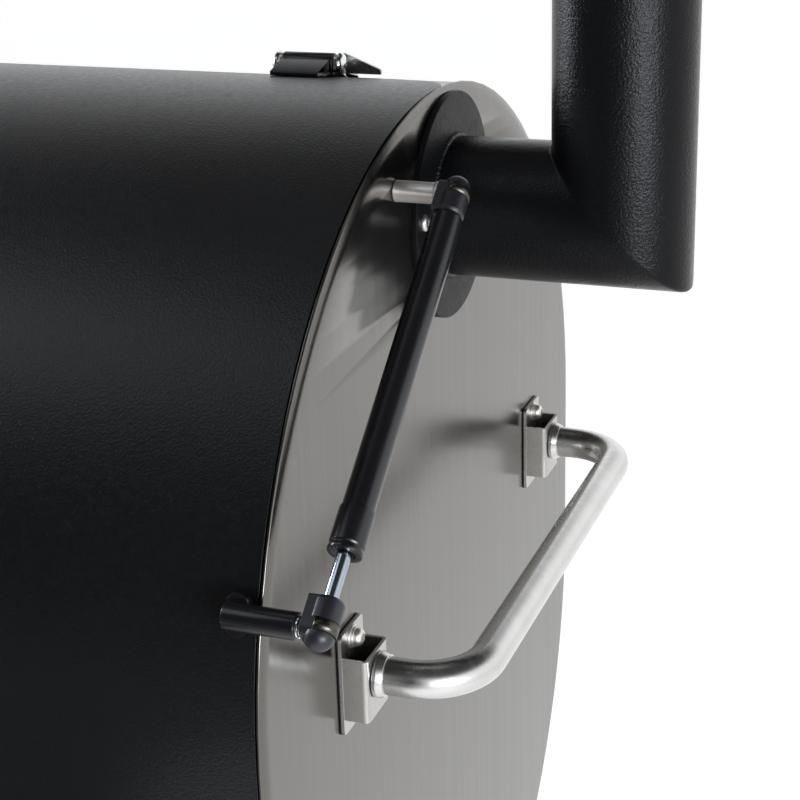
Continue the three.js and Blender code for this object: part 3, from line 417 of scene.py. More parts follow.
def along_x(place, low, high):
    """The two ends of a bar that lies along X."""
    return (low, place.y, place.z), (high, place.y, place.z)


def tube(start, end, radius, wall, edge=0.4, sides=48):
    start, end = Vector(start), Vector(end)
    length = (end - start).length
    corners = [(radius - wall, 0), (radius, 0), (radius, length), (radius - wall, length)]
    return turned(corners, edge, 2, start, end - start, sides, closed=True)


def sweep(path, radius, sides):
    """A round bar along a path, closed at both ends."""
    rows = []
    normal = Z
    for i, p in enumerate(path):
        along = (path[min(i + 1, len(path) - 1)] - path[max(i - 1, 0)]).normalized()
        normal = (normal - along * normal.dot(along)).normalized()
        side = along.cross(normal)
        ring = []
        for k in range(sides):
            angle = 2 * pi * k / sides
            ring.append(p + (side * cos(angle) + normal * sin(angle)) * radius)
        rows.append(ring)
    points, faces = grid(rows, wrap=True)
    faces.append(tuple(reversed(range(sides))))
    faces.append(tuple(range(len(points) - sides, len(points))))
    return flip((points, faces))


def fill(loops):
    """Triangles that fill an outline with holes, all turned the same way."""
    flat = [p for loop in loops for p in loop]
    for a, b, c in tessellate_polygon(loops):
        area = (flat[b] - flat[a]).cross(flat[c] - flat[a]).z
        if abs(area) > 1e-9:
            yield (a, b, c) if area > 0 else (a, c, b)


def slab(outline, low, high, basis, holes=()):
    """An outline with holes, from low to high along the third axis of basis."""
    loops = [[Vector((p[0], p[1], 0)) for p in loop] for loop in [outline, *holes]]
    flat = [p for loop in loops for p in loop]
    count = len(flat)
    points = [Vector((p.x, p.y, low)) for p in flat] + [Vector((p.x, p.y, high)) for p in flat]
    faces = []
    for a, b, c in fill(loops):
        faces += [(a + count, b + count, c + count), (a, c, b)]
    start = 0
    for k, loop in enumerate(loops):
        area = sum(p.x * q.y - q.x * p.y for p, q in zip(loop, loop[1:] + loop[:1]))
        outward = (area > 0) == (k == 0)
        n = len(loop)
        for i in range(n):
            a, b = start + i, start + (i + 1) % n
            faces.append((a, b, b + count, a + count) if outward else (b, a, a + count, b + count))
        start += n
    return moved((points, faces), basis)


def basis(u, v, w, origin=(0, 0, 0)):
    made = Matrix((u, v, w)).transposed().to_4x4()
    made.translation = Vector(origin)
    return made


YZ = basis(Y, Z, X)  # outlines in Y and Z, thickness along X
XZ = basis(X, Z, -Y)  # outlines in X and Z, thickness along -Y
XY = basis(X, Y, Z)  # outlines in X and Y, thickness along Z


def circle(u, v, radius, sides=32):
    steps = [2 * pi * i / sides for i in range(sides)]
    return [(u + radius * cos(a), v + radius * sin(a)) for a in steps]


def rectangle(u0, u1, v0, v1, corner=0.0, steps=6):
    points = [(u0, v0), (u1, v0), (u1, v1), (u0, v1)]
    return rounded(points, corner, steps, closed=True) if corner else points


def box(low, high):
    return slab(rectangle(low[0], high[0], low[1], high[1]), low[2], high[2], XY)


def arc(centre_u, centre_v, radius, start, end, steps):
    """Points of an arc between two angles in degrees."""
    made = []
    for i in range(steps + 1):
        angle = radians(start + (end - start) * i / steps)
        made.append((centre_u + radius * cos(angle), centre_v + radius * sin(angle)))
    return made


def button_head(place, direction, radius, height):
    """A domed screw head with a hexagon socket."""
    socket = radius * 0.45
    deep = height * 0.3
    profile = [(0, deep), (socket, deep), (socket, height)]
    steps = 6
    for i in range(1, steps + 1):
        angle = pi / 2 * i / steps
        profile.append((socket + (radius - socket) * sin(angle), height * (0.25 + 0.75 * cos(angle))))
    profile += [(radius, 0), (0, 0)]
    return lathe(list(reversed(profile)), place, direction, 36)


def hex_nut(place, direction, across, height):
    """A hexagon with its corners rounded off, and a chamfered face."""
    turn = Z.rotation_difference(Vector(direction))
    made = basis(turn @ X, turn @ Y, turn @ Z, place)
    corners = circle(0, 0, across / sqrt(3), 6)
    return slab(rounded(corners, 0.6, 2, closed=True), 0, height, made)


# ---- drums


def oval(drum, radius, steps=40):
    """The drum's outline in Y and Z, counterclockwise from its rear, at a given radius."""
    top = arc(0, drum.axis, radius, 0, 180, steps)
    bottom = arc(0, drum.axis - drum.drop, radius, 180, 360, steps)
    return top + bottom


def wrapper(drum, lid):
    """The fixed shell's outline, from the seam behind the lid down and round to the front seam."""
    radius, axis, drop = drum.radius, drum.axis, drum.drop
    rear = degrees(acos((lid.rear + SEAM) / radius))
    path = arc(0, axis, radius, rear, 0, 30)
    path += arc(0, axis - drop, radius, 0, -180, 64)
    path.append((-radius, axis - lid.front - SEAM))
    lap = drum.cap - LAP
    ends = [drum.left + lap, drum.right - lap]
    return grid([[(x, y, z) for x in ends] for y, z in path])


def lid_sheet(drum, lid):
    """The lid, whose two rear corners are round seen from above."""
    radius, axis = drum.radius, drum.axis
    rear = degrees(acos(lid.rear / radius))
    start = degrees(acos((lid.rear - lid.corner) / radius))
    fine = 14
    angles = [rear + (start - rear) * (1 - cos(pi / 2 * i / fine)) for i in range(fine + 1)]
    coarse = 60
    angles += [start + (180 - start) * i / coarse for i in range(1, coarse + 1)]
    path = [(radius * cos(radians(a)), axis + radius * sin(radians(a))) for a in angles]
    path += [(-radius, axis - lid.front * i / 3) for i in range(1, 4)]
    rows = []
    for y, z in path:
        past = max(0.0, y - (lid.rear - lid.corner))
        pulled = lid.corner - sqrt(max(0.0, lid.corner**2 - past**2))
        low = drum.left + lid.gap + pulled
        high = drum.right - lid.gap - pulled
        rows.append([(low + (high - low) * i / 12, y, z) for i in range(13)])
    return flip(grid(rows))


def pressed_cap(drum, lid, face, inwards, holes=()):
    """A pan as one sheet: its face, its round lip, and a flange that is stepped in under the lid."""
    lip = drum.radius + CAP_LIP.out
    step = drum.radius - CAP_INSET
    flush_depth = drum.cap - LAP - 0.5
    steps = 5
    rows = [[(face, y, z) for y, z in oval(drum, lip - CAP_RIM - 2)]]
    for i in range(steps + 1):
        across = i / steps
        ring = lip - CAP_EDGE - (CAP_RIM - CAP_EDGE) * (1 - across)
        depth = CAP_CROWN * across**2
        rows.append([(face + inwards * depth, y, z) for y, z in oval(drum, ring)])
    for i in range(1, steps + 1):
        angle = radians(22 + 68 * i / steps)
        ring = lip - CAP_EDGE * (1 - sin(angle))
        depth = CAP_CROWN + CAP_EDGE * (1 - cos(angle))
        rows.append([(face + inwards * depth, y, z) for y, z in oval(drum, ring)])
    flush = oval(drum, drum.radius)
    under = oval(drum, step)
    front = drum.axis - lid.front - SEAM
    covered = [y < lid.rear + SEAM and z > front for y, z in flush]
    chosen = [low if hidden else high for low, high, hidden in zip(under, flush, covered)]
    for depth in (CAP_LIP.depth + 0.8, flush_depth):
        rows.append([(face + inwards * depth, y, z) for y, z in chosen])
    for depth in (flush_depth + 0.8, drum.cap):
        rows.append([(face + inwards * depth, y, z) for y, z in under])
    points, faces = flip(grid(rows, wrap=True))
    outer = [Vector((p.y, p.z, 0)) for p in (Vector(q) for q in rows[0])]
    loops = [outer] + [[Vector((u, v, 0)) for u, v in hole] for hole in holes]
    flat = [p for loop in loops for p in loop]
    count = len(outer)
    extra = len(points)
    points += [Vector((face, p.x, p.y)) for p in flat[count:]]
    for corners in fill(loops):
        faces.append(tuple(i if i < count else extra + i - count for i in corners))
    return flip((points, faces)) if inwards > 0 else (points, faces)


CHIMNEY = Sizes(x=113.5, y=12.0, z=229.8, radius=44.1, wall=2.5, flange=72.0, thick=4.0)
CHIMNEY_TOP = 620.0
DAMPER_REACH = 58.0  # from the pipe's axis to the rain cap's pivot
THROAT = rectangle(-130, 130, -300, -200, 6)

build("chamber_wrapper", wrapper(CHAMBER, LID), COAT, node="chamber_shell", sheet=SHEET, bevel=0.4)
bore = circle(CHIMNEY.y, CHIMNEY.z, CHIMNEY.radius - CHIMNEY.wall, 48)


def end_pan(name, node, drum, lid, side, holes, material=CAP_STEEL):
    """The pressed end at the right (side 1) or the left (side -1) of a drum."""
    face = drum.right if side > 0 else drum.left
    build(name, pressed_cap(drum, lid, face, -side, holes), material, node=node, sheet=CAP_SHEET)


end_pan("right_end_pan", "end_cap_right", CHAMBER, LID, 1, [bore])
end_pan("left_end_pan", "end_cap_left", CHAMBER, LID, -1, [THROAT])
build("lid_sheet", lid_sheet(CHAMBER, LID), COAT, node="lid", sheet=SHEET, bevel=0.5)

# ---- chimney


def elbow():
    """A level length and an upright one, joined at 45 degrees with the mitre slightly rounded."""
    x, y, z = CHIMNEY.x, CHIMNEY.y, CHIMNEY.z
    start = CHIMNEY.thick + 2 * GAP
    soft, steps, sides = 2.5, 3, 96
    lines = []
    for i in range(sides):
        angle = 2 * pi * i / sides
        dy, dz = CHIMNEY.radius * cos(angle), CHIMNEY.radius * sin(angle)
        corner = Vector((x - dz, z + dz))
        path = rounded([(start, z + dz), corner, (x - dz, CHIMNEY_TOP)], soft, steps)
        lines.append([(p.x, y + dy, p.y) for p in path])
    rows = [list(row) for row in zip(*lines)]
    return grid(rows, wrap=True)


build("chimney_tube", elbow(), COARSE_COAT, node="chimney_pipe", sheet=CHIMNEY.wall, bevel=0.5)


def flange_disc():
    thick, outer, inner = CHIMNEY.thick, CHIMNEY.flange, CHIMNEY.radius - CHIMNEY.wall
    corners = [(inner, 0), (outer, 0), (outer, thick), (inner, thick)]
    return turned(corners, [0, 0.2, 0.8, 0.2], 3, (GAP, CHIMNEY.y, CHIMNEY.z), X, 128, closed=True)


build("chimney_flange_disc", flange_disc(), FLANGE_COAT, node="chimney_flange")


def weld_bead(centre, direction, radius, thick, ripples, sides=240):
    """A rippled ring of weld between a tube and the plate it stands on."""
    turn = Z.rotation_difference(Vector(direction))
    rows = []
    for i in range(sides):
        angle = 2 * pi * i / sides
        swell = thick * (1 + 0.12 * sin(angle * ripples))
        out = Vector((cos(angle), sin(angle), 0))
        ring = []
        for k in range(9):
            rise = pi / 2 * k / 8
            reach = radius - 0.3 + swell * cos(rise)
            ring.append(Vector(centre) + turn @ (out * reach + Z * swell * sin(rise)))
        rows.append(ring)
    rows.append(rows[0])
    return flip(grid(rows))


bead_place = (CHIMNEY.thick + GAP, CHIMNEY.y, CHIMNEY.z)
build("chimney_weld", weld_bead(bead_place, X, CHIMNEY.radius, 2.2, 90), COAT, "smoker_body")

FLANGE_SCREWS = 2
SCREW_CIRCLE = 59.0
for i in range(FLANGE_SCREWS):
    angle = radians(176 + i * 360 / FLANGE_SCREWS)
    spot = (
        CHIMNEY.thick + GAP,
        CHIMNEY.y + SCREW_CIRCLE * cos(angle),
        CHIMNEY.z + SCREW_CIRCLE * sin(angle),
    )
    build(f"flange_screw_{i + 1}", button_head(spot, X, 5.6, 3.2), TUBE_STEEL, "smoker_body")


def damper_plate():
    low, high = span("chimney_cap")
    x, y = CHIMNEY.x, CHIMNEY.y
    pivot = y + DAMPER_REACH
    outline = arc(x, y, 46.8, 100, 440, 60)
    outline += arc(x, pivot, 8.0, 20, 160, 10)
    hole = circle(x, pivot, 4.5, 20)
    return slab(outline, low.z, high.z, XY, [hole])


build("chimney_damper_plate", damper_plate(), COAT, node="chimney_cap", bevel=0.5)
pivot_spot = (CHIMNEY.x, CHIMNEY.y + DAMPER_REACH)
lug = slab(
    [(CHIMNEY.x - 8, CHIMNEY.y + 42.5), (CHIMNEY.x + 8, CHIMNEY.y + 42.5)]
    + arc(CHIMNEY.x, pivot_spot[1], 8, 0, 180, 12),
    CHIMNEY_TOP - 22,
    CHIMNEY_TOP - 1,
    XY,
)
build("chimney_pivot_lug", lug, COAT, "smoker_body", bevel=0.8)
bolt = rod((*pivot_spot, CHIMNEY_TOP - 2), (*pivot_spot, CHIMNEY_TOP + 9), 3.9)
build("chimney_pivot_bolt", bolt, TUBE_STEEL, "smoker_body")

# ---- gas spring

top_box = middle("spring_stud_upper")
low_box = middle("spring_stud_lower")
SPRING_X = middle("gas_spring_tube").x
TOP = Vector((SPRING_X, top_box.y, top_box.z))
LOW = Vector((SPRING_X, low_box.y, low_box.z))
DOWN = (LOW - TOP).normalized()
SPRING_LENGTH = (LOW - TOP).length
SOCKET_NECK = 17.0
SLEEVE = Sizes(start=210.0, end=236.0)


def spring_tube():
    start, end = SLEEVE.start, SLEEVE.end
    corners = [(0, SOCKET_NECK), (8.3, SOCKET_NECK), (9.0, SOCKET_NECK + 1.6), (9.0, start)]
    corners += [(9.85, start + 0.5), (9.85, end - 5), (9.2, end - 4), (9.2, end - 2.6), (9.9, end - 1.8)]
    corners += [(9.6, end), (6.2, end), (5.6, end - 1.5), (4.4, end - 1.5)]
    corners += [(4.4, end - 60), (0, end - 60)]
    return turned(corners, 0.5, 3, TOP, DOWN, 72)


build("spring_cylinder", spring_tube(), GLOSS_BLACK, node="gas_spring_tube")
piston_rod = rod(TOP + DOWN * 118, TOP + DOWN * (SPRING_LENGTH - SOCKET_NECK + 0.4), 4.0, 0.2, 48)
build("spring_piston_rod", piston_rod, ROD_STEEL, node="gas_spring_rod")

SOCKET = Sizes(radius=8.9, block=8.0, back=-9.0, band=3.6, dome=8.0)


def socket_body(centre, towards):
    """A round composite end with a dome past its ball, and a block that reaches to the stud."""
    radius, band = SOCKET.radius, SOCKET.band
    dome = []
    for i in range(10):
        angle = pi / 18 * i
        dome.append((radius * 0.93 * sin(angle), -band - SOCKET.dome * cos(angle)))
    recess = [(radius - 0.9, -band), (radius - 0.9, band), (radius, band)]
    neck = [(radius, SOCKET_NECK - 2.6), (7.6, SOCKET_NECK - 0.4), (0, SOCKET_NECK - 0.4)]
    shoulder = rounded([recess[-1], *neck], 1.8, 4)[1:]
    round_part = lathe(dome + recess + shoulder, centre, towards, 72)
    across = X.cross(towards)
    half = SOCKET.block
    place = basis(-across, towards, -X, centre)
    outline = rounded(
        [(-half, -6.5), (half, -6.5), (half, SOCKET_NECK - 0.8), (-half, SOCKET_NECK - 0.8)],
        [6.0, 6.0, 1.4, 1.4],
        6,
        closed=True,
    )
    block = slab(outline, 0.0, -SOCKET.back, place)
    return merge(round_part, block)


def socket_clip(centre, towards):
    """The spring-steel band in the socket's recess, round the side away from the stud."""
    turn = Z.rotation_difference(towards)
    reach = SOCKET.radius - 0.35
    half = SOCKET.band - 0.5
    sideways = X - towards * X.dot(towards)
    start = atan2(sideways.dot(turn @ Y), sideways.dot(turn @ X))
    steps = 40
    rows = []
    for i in range(steps + 1):
        angle = start + radians(100) * (2 * i / steps - 1)
        out = turn @ Vector((cos(angle), sin(angle), 0))
        rows.append([centre + out * reach + towards * h for h in (-half, half)])
    return grid(rows)


def ball_stud(base, direction, length, radius, neck):
    """A round stud with a flared lip at its end, and the thread that carries the ball."""
    lip = radius + 0.7
    corners = [(0, 0), (radius, 0), (radius, length - 2.4), (lip, length - 1.2), (lip, length)]
    corners += [(neck, length), (neck, length + 6), (0, length + 6)]
    return turned(corners, [0, 0, 0.8, 0.4, 0.3, 0, 0, 0], 3, base, direction)


stud_length = SPRING_X - 9.0 - GAP
upper_stud = ball_stud((GAP, TOP.y, TOP.z), X, stud_length - GAP, 6.4, 3.2)
build("upper_ball_stud", upper_stud, SATIN_STEEL, node="spring_stud_upper")
for end, centre, towards, node, body in (
    ("upper", TOP, DOWN, "gas_spring_socket_upper", "spring_tube"),
    ("lower", LOW, -DOWN, "gas_spring_socket_lower", "spring_rod"),
):
    build(f"{end}_socket_body", socket_body(centre, towards), BLACK_PLASTIC, node=node, bevel=0.5)
    clip = socket_clip(centre, towards)
    build(f"{end}_socket_clip", clip, CLIP_STEEL, body, sheet=0.45)

CARRIER = Sizes(left=-16.6, right=24.0, radius=7.5, pad_x=-12.6, pad_half=6.2, pad_reach=11.8)


def carrier_tube():
    length = CARRIER.right - CARRIER.left
    radius = CARRIER.radius
    corners = [(0, 0.6), (radius - 2, 0.6), (radius - 1.4, 0), (radius, 0)]
    corners += [(radius, length), (0, length)]
    return turned(corners, [0, 0.3, 0.5, 0.8, 0.5, 0], 4, (CARRIER.left, LOW.y, LOW.z), X)


def carrier_pad():
    """A foot with round ends that stands on the lid under the carrier's tube."""
    outward = Vector((0, LOW.y, LOW.z)).normalized()
    upward = outward.cross(X)
    seat = outward * (CHAMBER.radius + GAP) + X * CARRIER.pad_x
    half, reach = CARRIER.pad_half, CARRIER.pad_reach
    outline = arc(0, reach - half, half, 0, 180, 16) + arc(0, half - reach, half, 180, 360, 16)
    return slab(outline, 0, 8.5, basis(X, upward, outward, seat))


build("carrier_bar", carrier_tube(), GLOSS_BLACK, node="spring_carrier")
build("carrier_pad", carrier_pad(), GLOSS_BLACK, "lid", bevel=2.2)
collar_length = SPRING_X + SOCKET.back - CARRIER.right
corners = [(0, 0), (5.8, 0), (6.1, 0.6), (6.1, 1.5), (5.0, 1.9)]
corners += [(5.0, collar_length), (0, collar_length)]
stud = turned(corners, 0.25, 3, (CARRIER.right, LOW.y, LOW.z), X)
build("lower_stud_collar", stud, CHROME, node="spring_stud_lower")

# ---- lifting handle

handle_low, handle_high = span("side_handle")
HANDLE = Sizes(radius=11.4, bend=38.0, z=(handle_low.z + handle_high.z) / 2)
HANDLE.out = handle_high.x - HANDLE.radius
ARMS = [handle_low.y + HANDLE.radius, handle_high.y - HANDLE.radius]
BOX = Sizes(half=16.9, out=18.4, top=15.6, bottom=-24.4, sheet=2.0, bend=3.5)
FOOT = Sizes(half=17.3, top=29.6, bottom=-35.4, pad=0.95, screw=22.5)


def handle_path():
    start = BOX.out + 2 * GAP
    front, rear = ARMS
    out, bend = HANDLE.out, HANDLE.bend
    flat = [(start, front)]
    flat += arc(out - bend, front + bend, bend, -90, 0, 16)
    flat += arc(out - bend, rear - bend, bend, 0, 90, 16)
    flat.append((start, rear))
    return [Vector((x, y, HANDLE.z)) for x, y in flat]


build("handle_tube", sweep(handle_path(), HANDLE.radius, 48), TUBE_STEEL, node="side_handle")


def bracket_plate(y, low, high, grow=0.0):
    """The plate on the end cap, wider and taller than the channel, from low to high along X."""
    z = HANDLE.z
    half = FOOT.half + grow
    outline = rectangle(y - half, y + half, z + FOOT.bottom - grow, z + FOOT.top + grow, 4, 6)
    return slab(outline, low, high, YZ)


def bracket_box(y):
    """A bent channel, open at its top, with rounded bends and a floor."""
    z = HANDLE.z
    half, sheet, bend = BOX.half, BOX.sheet, BOX.bend
    base = FOOT.pad + sheet * 0.5
    outer = rounded(
        [(base, y - half), (BOX.out, y - half), (BOX.out, y + half), (base, y + half)],
        [0, bend, bend, 0],
        6,
        closed=True,
    )
    low = half - sheet
    inside = BOX.out - sheet
    walls = outer + [(base, y + low), (inside, y + low), (inside, y - low), (base, y - low)]
    shell = slab(walls, z + BOX.bottom, z + BOX.top, XY)
    over = low + 0.5
    far_corner = (inside + 0.5, y + over, z + BOX.bottom + sheet)
    return merge(shell, box((base, y - over, z + BOX.bottom), far_corner))


def collar(y):
    start = BOX.out + 2 * GAP
    inner, outer, length = HANDLE.radius - 0.05, 13.9, 6.0
    corners = [(inner, 0), (outer, 0), (outer, 2.2), (outer - 1.5, length), (inner, length)]
    return turned(corners, [0.1, 0.4, 0.4, 0.5, 0.1], 3, (start, y, HANDLE.z), X, 72, closed=True)


for end, y in zip(("front", "rear"), ARMS):
    plate_face = GAP + BOX.sheet + 0.6
    foot = merge(bracket_plate(y, FOOT.pad, plate_face), bracket_box(y))
    build(f"handle_foot_{end}", foot, BRACKET_STEEL, node=f"side_handle_bracket_{end}", bevel=0.45)
    build(f"handle_ring_{end}", collar(y), TUBE_STEEL, node=f"side_handle_collar_{end}")
    # A thin black sheet between the end cap and the foot plate, 0.25 larger all round than the plate,
    # which draws the dark line along the foot's edge.
    pad = bracket_plate(y, GAP, FOOT.pad, 0.25)
    build(f"handle_black_sheet_{end}", pad, BLACK_PLASTIC, "smoker_body")
    screw = Sizes(y=y, z=HANDLE.z + FOOT.screw)
    flat_washer = rod(*along_x(screw, plate_face, plate_face + 1.2), 7.0, 0.3)
    lock_washer = rod(*along_x(screw, plate_face + 1.3, plate_face + 2.7), 6.0, 0.4)
    head = button_head((plate_face + 2.8, screw.y, screw.z), X, 5.4, 4.2)
    stack = merge(flat_washer, lock_washer, head)
    build(f"handle_screw_{end}", stack, SATIN_STEEL, node=f"side_handle_bolt_{end}")

# ---- lid hinges

PIVOT = Vector((0, LID.pivot_y, sqrt(LID.pivot_r**2 - LID.pivot_y**2)))
HINGE = Sizes(right=-113.0, left=-787.0, half=18.0, radius=7.2, ear=3.0, gusset=26.0)
DOME = Sizes(radius=7.6, height=4.5)


def on_chamber(y, lift):
    return (y, sqrt(CHAMBER.radius**2 - y * y) + lift)


def hinge_knuckle(x):
    """A lacquered barrel with a foot that lies on the lid's rear edge."""
    barrel = tube(*along_x(PIVOT, x - HINGE.half, x + HINGE.half), HINGE.radius, 2.8, 0.8, 64)
    corners = [on_chamber(LID.rear - 16, GAP), on_chamber(LID.rear - 1, GAP)]
    corners += [(PIVOT.y - 5, PIVOT.z - 4.6), (PIVOT.y - 5, PIVOT.z + 4.6), on_chamber(LID.rear - 16, 3)]
    outline = rounded(corners, [0.5, 0, 0, 2, 1.2], 4, closed=True)
    return merge(barrel, slab(outline, x - HINGE.half + 1, x + HINGE.half - 1, YZ))


def hinge_bracket(x, outer):
    """Two ears on a base strip, and a tapered gusset beyond the outer ear."""
    inside = HINGE.half + GAP
    half = inside + HINGE.ear
    corners = [on_chamber(72, GAP), on_chamber(96, GAP), on_chamber(96, 3.2), on_chamber(72, 3.2)]
    strip = slab(rounded(corners, 0.8, 3, closed=True), x - half, x + half, YZ)
    ear = [(PIVOT.y - 5, PIVOT.z - 4.5), (PIVOT.y + 4, PIVOT.z - 6.8)]
    ear += [on_chamber(72, 0.6), on_chamber(94, 0.6), on_chamber(94, 4)]
    ear += [(PIVOT.y + 5, PIVOT.z + 5.5), (PIVOT.y - 3, PIVOT.z + 6.8)]
    outline = rounded(ear, [2, 1, 0, 0, 2, 3, 4], 4, closed=True)
    ears = [slab(outline, *sorted((x + s * inside, x + s * half)), YZ) for s in (-1, 1)]
    face = x + outer * (half - 1)
    tip = x + outer * (half + HINGE.gusset)
    gusset = [(face, PIVOT.z - 7.6), (tip, PIVOT.z - 7.6), (tip, PIVOT.z - 4.4), (face, PIVOT.z + 6.2)]
    plate = slab(rounded(gusset, [0, 0.5, 2, 1], 4, closed=True), -72.3, -70.1, XZ)
    return merge(strip, *ears, plate)


def hinge_pin(x):
    half = HINGE.half + 2 * GAP + HINGE.ear
    angles = [pi / 16 * i for i in range(9)]
    dome = [(DOME.radius * cos(a), half + DOME.height * sin(a)) for a in angles]
    profile = [(r, -h) for r, h in reversed(dome)] + [(4.0, -half), (4.0, half)] + dome
    return lathe(profile, (x, PIVOT.y, PIVOT.z), X, 64)


for side, x, outer in (("right", HINGE.right, 1), ("left", HINGE.left, -1)):
    build(f"hinge_barrel_{side}", hinge_knuckle(x), GLOSS_BLACK, node=f"hinge_knuckle_{side}", bevel=0.3)
    ears = hinge_bracket(x, outer)
    build(f"hinge_ears_{side}", ears, BRACKET_STEEL, node=f"hinge_bracket_{side}", bevel=0.35)
    build(f"hinge_rivet_{side}", hinge_pin(x), CHROME, node=f"hinge_pin_{side}")

# ---- lid handle

grip_low, grip_high = span("lid_handle")
GRIP = Sizes(y=(grip_low.y + grip_high.y) / 2, z=(grip_low.z + grip_high.z) / 2, radius=12.5)
GRIP_POST_INSET = 45.0
LID_FRONT = -CHAMBER.radius

grip = tube(*along_x(GRIP, grip_low.x, grip_high.x), GRIP.radius, 1.5)
build("lid_grip", grip, TUBE_STEEL, node="lid_handle")
for side, x, out in (("left", grip_low.x, -1), ("right", grip_high.x, 1)):
    inside, plug = GRIP.radius - 1.6, GRIP.radius - 1.0
    corners = [(0, -14), (inside, -14), (inside, -0.9), (plug, -0.9), (plug - 3, -0.2), (0, 0)]
    plug_shape = turned(corners, [0, 0, 0, 0.6, 2, 0], 4, (x, GRIP.y, GRIP.z), X * out, 48)
    build(f"lid_grip_plug_{side}", plug_shape, BLACK_PLASTIC, "lid")


def grip_bracket(x):
    """A foot plate, a waisted arm and a ring that holds the grip."""
    y, z = GRIP.y, GRIP.z
    base = LID_FRONT - GAP
    foot = slab(rectangle(x - 14, x + 14, z - 24, z + 24, 4), -base, 3 - base, XZ)
    outline = [(base + 1, z + 12), (base - 16, z + 8), (y + 8, z + 8)]
    outline += [(y + 8, z - 8), (base - 16, z - 8), (base + 1, z - 12)]
    arm = slab(rounded(outline, [0, 8, 0, 0, 8, 0], 5, closed=True), x - 7, x + 7, YZ)
    ring = tube((x - 9, y, z), (x + 9, y, z), GRIP.radius + 4, 3.8, 1.0, 64)
    return merge(foot, arm, ring)


for side, x in (("left", grip_low.x + GRIP_POST_INSET), ("right", grip_high.x - GRIP_POST_INSET)):
    post = grip_bracket(x)
    build(f"lid_grip_post_{side}", post, TUBE_STEEL, node=f"lid_handle_bracket_{side}", bevel=0.6)
    for k, dz in enumerate((-18, 18)):
        head = button_head((x, LID_FRONT - GAP - 3, GRIP.z + dz), -Y, 4.2, 2.6)
        build(f"lid_grip_screw_{side}_{k + 1}", head, TUBE_STEEL, "lid")

# ---- thermometer

TILT = radians(30)
GAUGE_OUT = Vector((0, -cos(TILT), sin(TILT)))
GAUGE_UP = Vector((0, sin(TILT), cos(TILT)))
chamber_middle = (CHAMBER.left + CHAMBER.right) / 2
GAUGE_BASE = GAUGE_OUT * (CHAMBER.radius + GAP) + X * chamber_middle
GAUGE = Sizes(radius=38.0, face_r=33.5, depth=16.0, face=5.0, stem_r=3.0, stem=105.0)
DIAL = basis(X, GAUGE_UP, GAUGE_OUT, GAUGE_BASE)


def gauge_case():
    r, f, d = GAUGE.radius, GAUGE.face_r, GAUGE.depth
    face = GAUGE.face - 0.4
    stem, end = GAUGE.stem_r, -GAUGE.stem
    corners = [(0, end), (stem, end), (stem, -6), (9, -6), (9, -2.4), (stem, -2.4), (stem, 0)]
    corners += [(r - 5, 0), (r - 2.5, 2.5), (r - 2.5, 8), (r, 9.5), (r, d), (f, d), (f, face), (0, face)]
    radii = [0, 1, 0, 0.6, 0.6, 0, 0, 2, 1, 0.6, 0.8, 2.2, 0.6, 0.3, 0]
    return turned(corners, radii, 4, GAUGE_BASE, GAUGE_OUT, 96)


build("gauge_case", gauge_case(), CHROME, node="thermometer_case")
dial_edge = GAUGE.face_r - 0.1
dial_profile = [(0, 0), (dial_edge, 0), (dial_edge, 0.5), (0, 0.5)]
dial = lathe(dial_profile, DIAL @ Vector((0, 0, GAUGE.face - 0.3)), GAUGE_OUT, 96)
build("gauge_dial", dial, DIAL_WHITE, "lid")
LENS = Sizes(radius=32.9, back=12.6, edge=13.4, crown=1.9)
lens_profile = [(0, LENS.back), (LENS.radius, LENS.back), (LENS.radius, LENS.edge)]
for i in range(1, 9):
    a = pi / 2 * i / 8
    lens_profile.append((LENS.radius * cos(a), LENS.edge + LENS.crown * sin(a)))
build("gauge_lens", lathe(lens_profile, GAUGE_BASE, GAUGE_OUT, 96), GLASS, "lid")

SWEEP_START, SWEEP = 225.0, 270.0
DIAL_STEPS = 30
MARK = Sizes(outer=30.0, low=5.15, high=5.3, numbers=19.3, text=5.4)


def dial_marks():
    """Long and short strokes round the dial."""
    shapes = []
    for i in range(DIAL_STEPS + 1):
        angle = radians(SWEEP_START - SWEEP * i / DIAL_STEPS)
        long = i % 5 == 0
        inner, half = (24.6, 0.45) if long else (27.0, 0.22)
        out, side = Vector((cos(angle), sin(angle))), Vector((-sin(angle), cos(angle)))
        ends = [(inner, -half), (MARK.outer, -half), (MARK.outer, half), (inner, half)]
        shapes.append(slab([out * r + side * h for r, h in ends], MARK.low, MARK.high, DIAL))
    return merge(*shapes)


build("gauge_marks", dial_marks(), MARK_BLACK, "lid")
hot_zone = arc(0, 0, 23.2, 45, -45, 16) + arc(0, 0, 21.8, -45, 45, 16)
build("gauge_hot_band", slab(hot_zone, MARK.low, MARK.high - 0.02, DIAL), MARK_RED, "lid")


def dial_number(index, value):
    """One number on the dial, as a mesh."""
    angle = radians(SWEEP_START - SWEEP * index / 6)
    text = bpy.data.curves.new(f"dial_text_{value}", "FONT")
    text.body = str(value)
    text.size = MARK.text
    text.align_x = "CENTER"
    text.align_y = "CENTER"
    text.extrude = 0.08
    holder = add(f"dial_holder_{value}", text)
    bpy.context.view_layer.update()
    drawn = holder.evaluated_get(bpy.context.evaluated_depsgraph_get()).to_mesh()
    spot = Matrix.Translation((MARK.numbers * cos(angle), MARK.numbers * sin(angle), 5.25))
    points = [DIAL @ spot @ v.co.copy() for v in drawn.vertices]
    faces = [tuple(p.vertices) for p in drawn.polygons]
    bpy.data.objects.remove(holder)
    return points, faces


numbers = merge(*[dial_number(i, 50 * (i + 1)) for i in range(7)])
build("gauge_numbers", numbers, MARK_BLACK, "lid")

